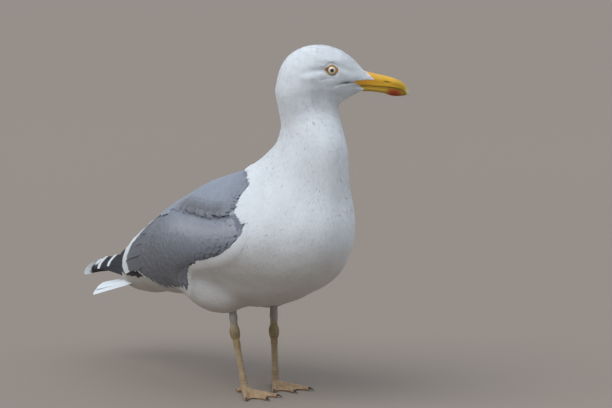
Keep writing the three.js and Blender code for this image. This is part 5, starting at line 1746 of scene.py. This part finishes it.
def grey_feathers():
    space = 5.2
    root = grey_grid(space, 7)
    q = flat_map(root)
    d = inside_grey(q) + 0.5 * waves(root, 11, 41)
    side, along = polyline_distance(q, SCAP_LINE)
    keep = d > np.where((root[:, 2] > 196) & (root[:, 1] < 10), 3.0, -0.5)
    root, q, d, side, along = root[keep], q[keep], d[keep], side[keep], along[keep]
    rng = np.random.default_rng(70)
    y = root[:, 1]
    # wing coverts: below the shoulder feathers, ahead of the long tertials and secondaries
    cov = (side > -5) & (y < 138 - 0.25 * np.maximum(root[:, 2] - 120, 0))
    scap = side <= 1
    for name, m, lo, hi, length, wide in (("coverts", cov, -3.6, -0.55, 17.0, 11.0), ("mantle", scap, -3.0, 0.55, 17.0, 11.0)):
        r = root[m]
        n = len(r)
        big = lerp(0.72, 1.2, smooth(-40, 120, r[:, 1]))
        L = length * big * rng.uniform(0.9, 1.12, n)
        W = wide * big * rng.uniform(0.88, 1.1, n)
        edge = smooth(-9, 0, side[m]) * smooth(75, 30, r[:, 1]) if name == "mantle" else np.zeros(n)
        top = hi + rng.uniform(-0.07, 0.07, n) + 0.7 * edge
        inner = (np.abs(r[:, 0]) < 26) & (r[:, 1] > 112)
        lie = edge_dir if name == "mantle" else grey_dir
        pts, nrm = march(r, lie, L, 7, np.full(n, lo), top)
        near = np.minimum(d[m], inside_grey(flat_map(pts[:, -1])))
        mid = np.minimum(near, inside_grey(flat_map(pts[:, 3])))
        fade = smooth(14, -1, mid)                       # sink toward the white, whose feathers lie over the border
        top = np.where(inner, -1.5, top - (1.7 if name == "mantle" else 1.25) * fade)
        top = top - 1.3 * smooth(5.0, -1.0, mid)
        L = L * lerp(1.0, 0.6, fade)
        W = W * lerp(1.0, 0.85, fade)
        pts, nrm = march(r, lie, L, 7, np.full(n, lo), top)
        tipq = flat_map(pts[:, -1])
        bd, bh = band_distance(pts[:, -1])
        low_rear = (pts[:, -1, 1] > 60) & (pts[:, -1, 2] < 118)
        ok = ((bd * BAND_OUT < -(bh + 0.6)) | (np.abs(bd) > 16.0) | inner) & (inside_grey(tipq) > np.where(low_rear, -3.5, -1.0))
        ok &= (mid > -0.2) | low_rear
        if name == "mantle":
            over, _ = polyline_distance(tipq, SCAP_LINE)
            ok &= (over < -1.0) | (pts[:, -1, 1] > 85)
        tone = 1 + rng.normal(0, 0.018, n) + 0.035 * waves(r, 30, 77) + 0.02 * waves(r, 12, 78)
        # painted shade: the mantle is darker down toward the border of the shoulder feathers; the coverts are darker
        # lower down, toward the rear and further below that border
        if name == "mantle":
            dark = 0.75 * smooth(-22, -2, side[m]) * smooth(85, 40, r[:, 1])
        else:
            dark = np.clip(smooth(182, 112, r[:, 2]) + 0.5 * smooth(10, 110, r[:, 1]), 0, 1.0)
            tone = tone * (1 - 0.16 * smooth(30, 120, r[:, 1]) - 0.07 * smooth(120, 100, r[:, 2]) - 0.07 * smooth(14, 24, side[m]))
        c = lerp(GREY, GREY_DARK, dark[:, None]) * tone[:, None]
        if name == "coverts":
            # painted light: a paler band on the coverts a little under the border of the shoulder feathers
            c = lerp(c, GREY_PALE * 1.04, (0.85 * np.exp(-((side[m] - 9.5) / 6) ** 2) * smooth(75, 20, r[:, 1]))[:, None])
            c = lerp(c, GREY_PALE * 1.1, (0.5 * smooth(9, 0, d[m]) * smooth(-30, -50, r[:, 1]) * smooth(172, 185, r[:, 2]))[:, None])
        c = lerp(c, WHITE * 0.86, (0.5 * smooth(4.5, -1.0, mid) * smooth(20, -20, r[:, 1]) * smooth(184, 192, r[:, 2]))[:, None])
        r, L, W, c, pts, nrm = r[ok], L[ok], W[ok], c[ok], pts[ok], nrm[ok]
        n = len(r)
        order = np.argsort(along[m][ok] if name == "mantle" else r[:, 1])
        pieces = max(1, math.ceil(n * 116 / 170000))
        for i, part in enumerate(np.array_split(order, pieces)):
            ob = vanes("%s_%d" % (name, i), pts[part], nrm[part], W[part], c[part], root_place=r[part], material=M_VANE, paint=paint_covert if name == "coverts" else paint_grey, seed=5 + i, ragged=0.02, camber=0.05)
    # the lowest shoulder feathers lie along the border in close rows
    roots, lev, cols, wid, length = [], [], [], [], []
    nn = unit(gradient(body, SCAP_AT))
    up = np.cross(SCAP_DIR, nn)
    up = unit(up * np.sign(up[:, 2:]))
    # painted shade: the rows nearest the border are darker, the lowest most, toward the front
    for off, lift, row_shade in ((13.0, -0.15, 0.46), (9.0, 0.0, 0.78), (5.0, 0.15, 1.05)):
        for i in range(3, len(SCAP_AT) - 1, 2):
            p = SCAP_AT[i] + up[i] * (off + rng.uniform(-0.35, 0.35)) + SCAP_DIR[i] * rng.uniform(-0.6, 0.6)
            if p[1] > 78 or p[1] < -41:
                continue
            k = float(smooth(80, 40, p[1]) * smooth(-46, -28, p[1]))
            for s in (1, -1):
                roots.append(p * [s, 1, 1])
                lev.append(0.1 + lift + 0.85 * k)
                cols.append(lerp(GREY, GREY_DARK, row_shade * k + 0.12 * (1 - k)) * (1 + rng.normal(0, 0.018)))
                wid.append(10.0)
                length.append(17.0)
    roots = np.array(roots)
    n = len(roots)
    pts, nrm = march(roots, edge_dir, np.array(length), 7, np.full(n, -2.2), np.array(lev), ramp=0.45)
    ob = vanes("scapulars", pts, nrm, np.array(wid), np.array(cols), root_place=roots, material=M_VANE, paint=paint_grey, seed=9, ragged=0.015, camber=0.06)


def on_sides(rows):
    """Right-side table rows mirrored to both sides."""
    a = np.array(rows, float)
    b = a * [-1, 1, 1]
    return np.concatenate([a, b])


def white_tip(where, soft, full=1.0):
    def paint(t, x, col, rng, at):
        streak = 1 + 0.025 * rng.normal(0, 1, (col.shape[0], 1, col.shape[2], 1))
        edge = where + 0.02 * x[..., None] ** 2 + 0.006 * rng.normal(0, 1, (col.shape[0], 1, col.shape[2], 1))
        k = smooth(0, 1, np.clip((t[..., None] - edge) / soft, 0, 1)) * full
        return lerp(col * streak, WHITE * 0.98, k)
    return paint


def white_band(t, x, col, rng, at):
    """Tertials: grey, white from the inner border of the band to the tip."""
    streak = 1 + 0.022 * rng.normal(0, 1, (col.shape[0], 1, col.shape[2], 1))
    d, half = band_distance(at)
    k = smooth(1.2, -1.2, -d * BAND_OUT - half) * smooth(0.45, 0.6, t)
    k = np.maximum(k, smooth(0.95, 0.97, t) * 0.9)
    return lerp(col * streak, WHITE * 1.0, k[..., None])


def long_feathers():
    # secondaries: tips along the lower rear edge of the folded wing
    tip = np.array([(-37, 178, 102.5), (-37.5, 168, 100.5), (-37, 160, 96.5), (-36, 150, 93.5), (-35.5, 139, 91.5), (-35, 128, 90), (-35, 116, 88.5), (-37, 103, 88.5), (-41, 90, 89.5), (-46, 77, 91.5), (-50, 66, 94.5)], float)
    root = tip + np.array([-6.0, -62, 42])
    mid = (tip + root) / 2 + np.array([-4.0, 2, 3])
    n = len(tip)
    for s, nm in ((1, "R"), (-1, "L")):
        k = np.array([s, 1, 1])
        pts = bezier(root * k, mid * k, tip * k, 16)
        pts, nrm = lay_on(pts, np.full(n, -3.4), np.linspace(-0.5, -1.0, n), 0.7)
        c = np.repeat(GREY_DARK[None] * 0.86, n, 0)
        ob = vanes("secondaries_" + nm, pts, nrm, np.full(n, 18.0), c, cols=7, thick=0.3, islands=(3, 5), material=M_FLIGHT, paint=white_tip(0.955, 0.012), seed=31, tip_w=0.85, round_=0.07, camber=0.08, grid=22, slant=0.05 * s)
    # greater coverts over them
    tip = np.array([(-41, 156, 110), (-43, 145, 107), (-45, 133, 104), (-47, 121, 102), (-49.5, 108, 100.5), (-52.5, 95, 100), (-55, 82, 100), (-56.5, 70, 101), (-57, 59, 103)], float)
    root = tip + np.array([-4.0, -38, 28])
    mid = (tip + root) / 2 + np.array([-3.0, 1, 2])
    n = len(tip)
    for s, nm in ((1, "R"), (-1, "L")):
        k = np.array([s, 1, 1])
        pts = bezier(root * k, mid * k, tip * k, 12)
        pts, nrm = lay_on(pts, np.full(n, -2.9), np.full(n, -0.75), 0.7)
        c = np.repeat(lerp(GREY, GREY_DARK, 0.8)[None], n, 0)
        ob = vanes("greater_coverts_" + nm, pts, nrm, np.full(n, 17.0), c, cols=7, thick=0.28, islands=(2, 5), material=M_FLIGHT, paint=paint_grey, seed=32, tip_w=0.85, round_=0.14, camber=0.08)
    # tertials: broad, white-tipped, closing over the rear of the back
    tip = np.array([(-31, 207, 103), (-27, 201, 115), (-25, 190, 127), (-23, 178, 139), (-21, 164, 151), (-20, 150, 160), (-20, 134, 168)], float)
    root = np.array([(-53, 112, 135), (-49, 106, 145), (-45, 101, 153), (-41, 96, 161), (-37, 90, 168), (-32, 84, 174), (-27, 76, 179)], float)
    mid = (tip + root) / 2 + np.array([(-6.0, 0, 4), (-5, 0, 6), (-4, 0, 7), (-4, 0, 7), (-3, 0, 7), (-3, 0, 6), (-2, 0, 5)])
    n = len(tip)
    for s, nm in ((1, "R"), (-1, "L")):
        k = np.array([s, 1, 1])
        pts = bezier(root * k, mid * k, tip * k, 22)
        pts, nrm = lay_on(pts, np.full(n, -2.6), np.array([-0.1, -0.05, 0.0, 0.06, 0.12, 0.2, 0.3]), 0.8)
        c = np.repeat(lerp(GREY, GREY_DARK, 0.95)[None], n, 0) * np.array([0.84, 0.86, 0.88, 0.90, 0.93, 0.97, 1.0])[:, None]
        ob = vanes("tertials_" + nm, pts, nrm, np.array([31.0, 28, 26, 25, 24, 23, 22]), c, cols=13, thick=0.26, islands=(2, 4), material=M_FLIGHT, paint=white_band, seed=33, tip_w=0.86, round_=0.10, camber=0.13, grid=34, slant=0.035 * s)


def wing_tip():
    """Folded primaries: the longest lies lowest, each inner one over it and shorter."""
    rows = 30
    # reach of each feather's end, how far up the fan it lies there, and how much white the end has
    ends = [(292.5, 0.50, 1.0), (281.5, 0.60, 1.0), (259.0, 0.64, 1.0), (239.5, 0.80, 0.0), (228.5, 0.90, 0.0), (217.0, 0.96, 0.0), (207.0, 1.0, 0.0)]
    for s, nm, end, root_y in ((-1, "R", (11.5, 288, 90), 0), (1, "L", (-5, 315, 79), 25)):
        right = s < 0
        P, N, Wd = [], [], []
        for j, (yt, et, _) in enumerate(ends):
            yt = yt + root_y
            y = np.linspace(150 - 2 * j, yt, rows)
            t = np.clip((y - 196) / (end[1] - 197.5), -0.6, 1)
            tp = np.clip(t, 0, 1)
            topx = lerp(9, end[0] - (2 if right else -1.5), smooth(0.35, 1, tp))
            topz = lerp(126, end[2] + (3.5 if right else 10), np.where(t > 0, tp ** 0.95, t)) - (2.5 if right else 8) * tp ** 7
            lowx = lerp(31, end[0] + (-1 if right else 1), np.where(t > 0, tp ** 1.3, t))
            lowz = lerp(88, end[2] - 1.2, np.where(t > 0, tp ** 1.3, t)) - (2.4 if right else 2) * np.sin(math.pi * tp)
            e0 = 0.22 + 0.075 * j
            e = lerp(e0, et, smooth(0.15, 1.0, np.linspace(0, 1, rows)) ** 1.1)
            low, top = np.stack([lowx, y, lowz], 1), np.stack([topx, y, topz], 1)
            p = low + (top - low) * e[:, None]
            nrm = unit(np.cross(np.array([0, 1.0, -0.12]), top - low))
            nrm = nrm * np.sign(nrm[:, :1])
            p = p + nrm * (-1.3 + 0.42 * j)
            # where they run along the rump they lie on its feathers
            g = gradient(body, p, 1.0)
            want = lerp(-1.5 + 0.08 * j, -6.0, smooth(222, 246, y))
            want = lerp(want, -5.0, smooth(96, 105, p[:, 2]))
            want = lerp(np.full(rows, -2.8), want, smooth(0, 0.3, np.linspace(0, 1, rows)))
            push = np.clip(want - body(p), 0, 14)
            p = p + unit(g) * push[:, None]
            nrm = unit(lerp(nrm, unit(g), smooth(0, 2, push)[:, None]))
            P.append(p * [s, 1, 1])
            N.append(nrm * [s, 1, 1])
            Wd.append(15.5 - 0.3 * j if j else 13.0)
        P, N = np.array(P), np.array(N)
        n = len(P)

        def paint(t, x, col, rng, at, n=n):
            amount = np.array([e[2] for e in ends]).reshape(-1, 1, 1, 1)
            start = 0.944 + 0.012 * x[..., None] ** 2
            k = smooth(0, 1, np.clip((t[..., None] - start) / 0.010, 0, 1)) * amount
            if s < 0:                                    # the outermost one is white only along its upper edge
                k[0] = k[0] * smooth(-0.35, 0.15, -x[0])[..., None]
            col = col * (1 + 0.10 * rng.normal(0, 1, (n, 1, col.shape[2], 1)))
            shaft = (np.abs(x) < 0.1)[..., None] * 0.010
            return lerp(col + shaft, WHITE * 0.97, k)
        ob = vanes("wing_tip_" + nm, P, N, np.array(Wd), np.repeat(BLACK[None], n, 0), cols=11, thick=0.42, islands=(1, 7), material=M_FLIGHT, paint=paint, seed=41, root_w=0.8, tip_w=0.86,
                   round_=0.035, camber=0.03, ragged=0.003, rachis=0.3, slant=-0.075 * s, grid=44)
        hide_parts("primaries_" + nm)


def tail_feathers():
    rows = 20
    P, N, W = [], [], []
    for j in range(12):
        c = (j - 5.5) / 5.5                       # -1 right edge to 1 left edge
        y = np.linspace(176, 256.5 - 2.5 * c * c, rows)
        t = (y - 186) / 71
        half = lerp(19, 31.5, np.clip(t, -0.2, 1))
        x = c * half * np.where(t < 0, 1 + t, 1)
        outer = float(smooth(0.80, 1.0, abs(c)))
        z = lerp(91.0, 72.0, t) + 2.4 * (1 - c * c) - 1.0 * abs(c) - 4.0 * outer * np.clip(t, 0, 1)
        p = np.stack([x, y, z], 1)
        n = unit(np.stack([0.75 * c * np.ones(rows), np.full(rows, 0.27), np.full(rows, 0.95)], 1))
        p = p + n * (0.5 * (1 - abs(c)) * 4)
        P.append(p)
        N.append(n)
        W.append(12.5)
    P, N = np.array(P), np.array(N)

    def paint(t, x, col, rng, at):
        return col * (1 + 0.03 * rng.normal(0, 1, (col.shape[0], 1, col.shape[2], 1)))
    ob = vanes("tail_fan", P, N, np.array(W), np.repeat((WHITE * 0.97)[None], 12, 0), cols=7, thick=0.5, islands=(2, 6), material=M_FLIGHT, paint=paint, seed=43, root_w=0.6, tip_w=1.0, round_=0.03, camber=0.06, ragged=0.004, rachis=0.35)
    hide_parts("tail")


grey_feathers()
long_feathers()
wing_tip()
tail_feathers()
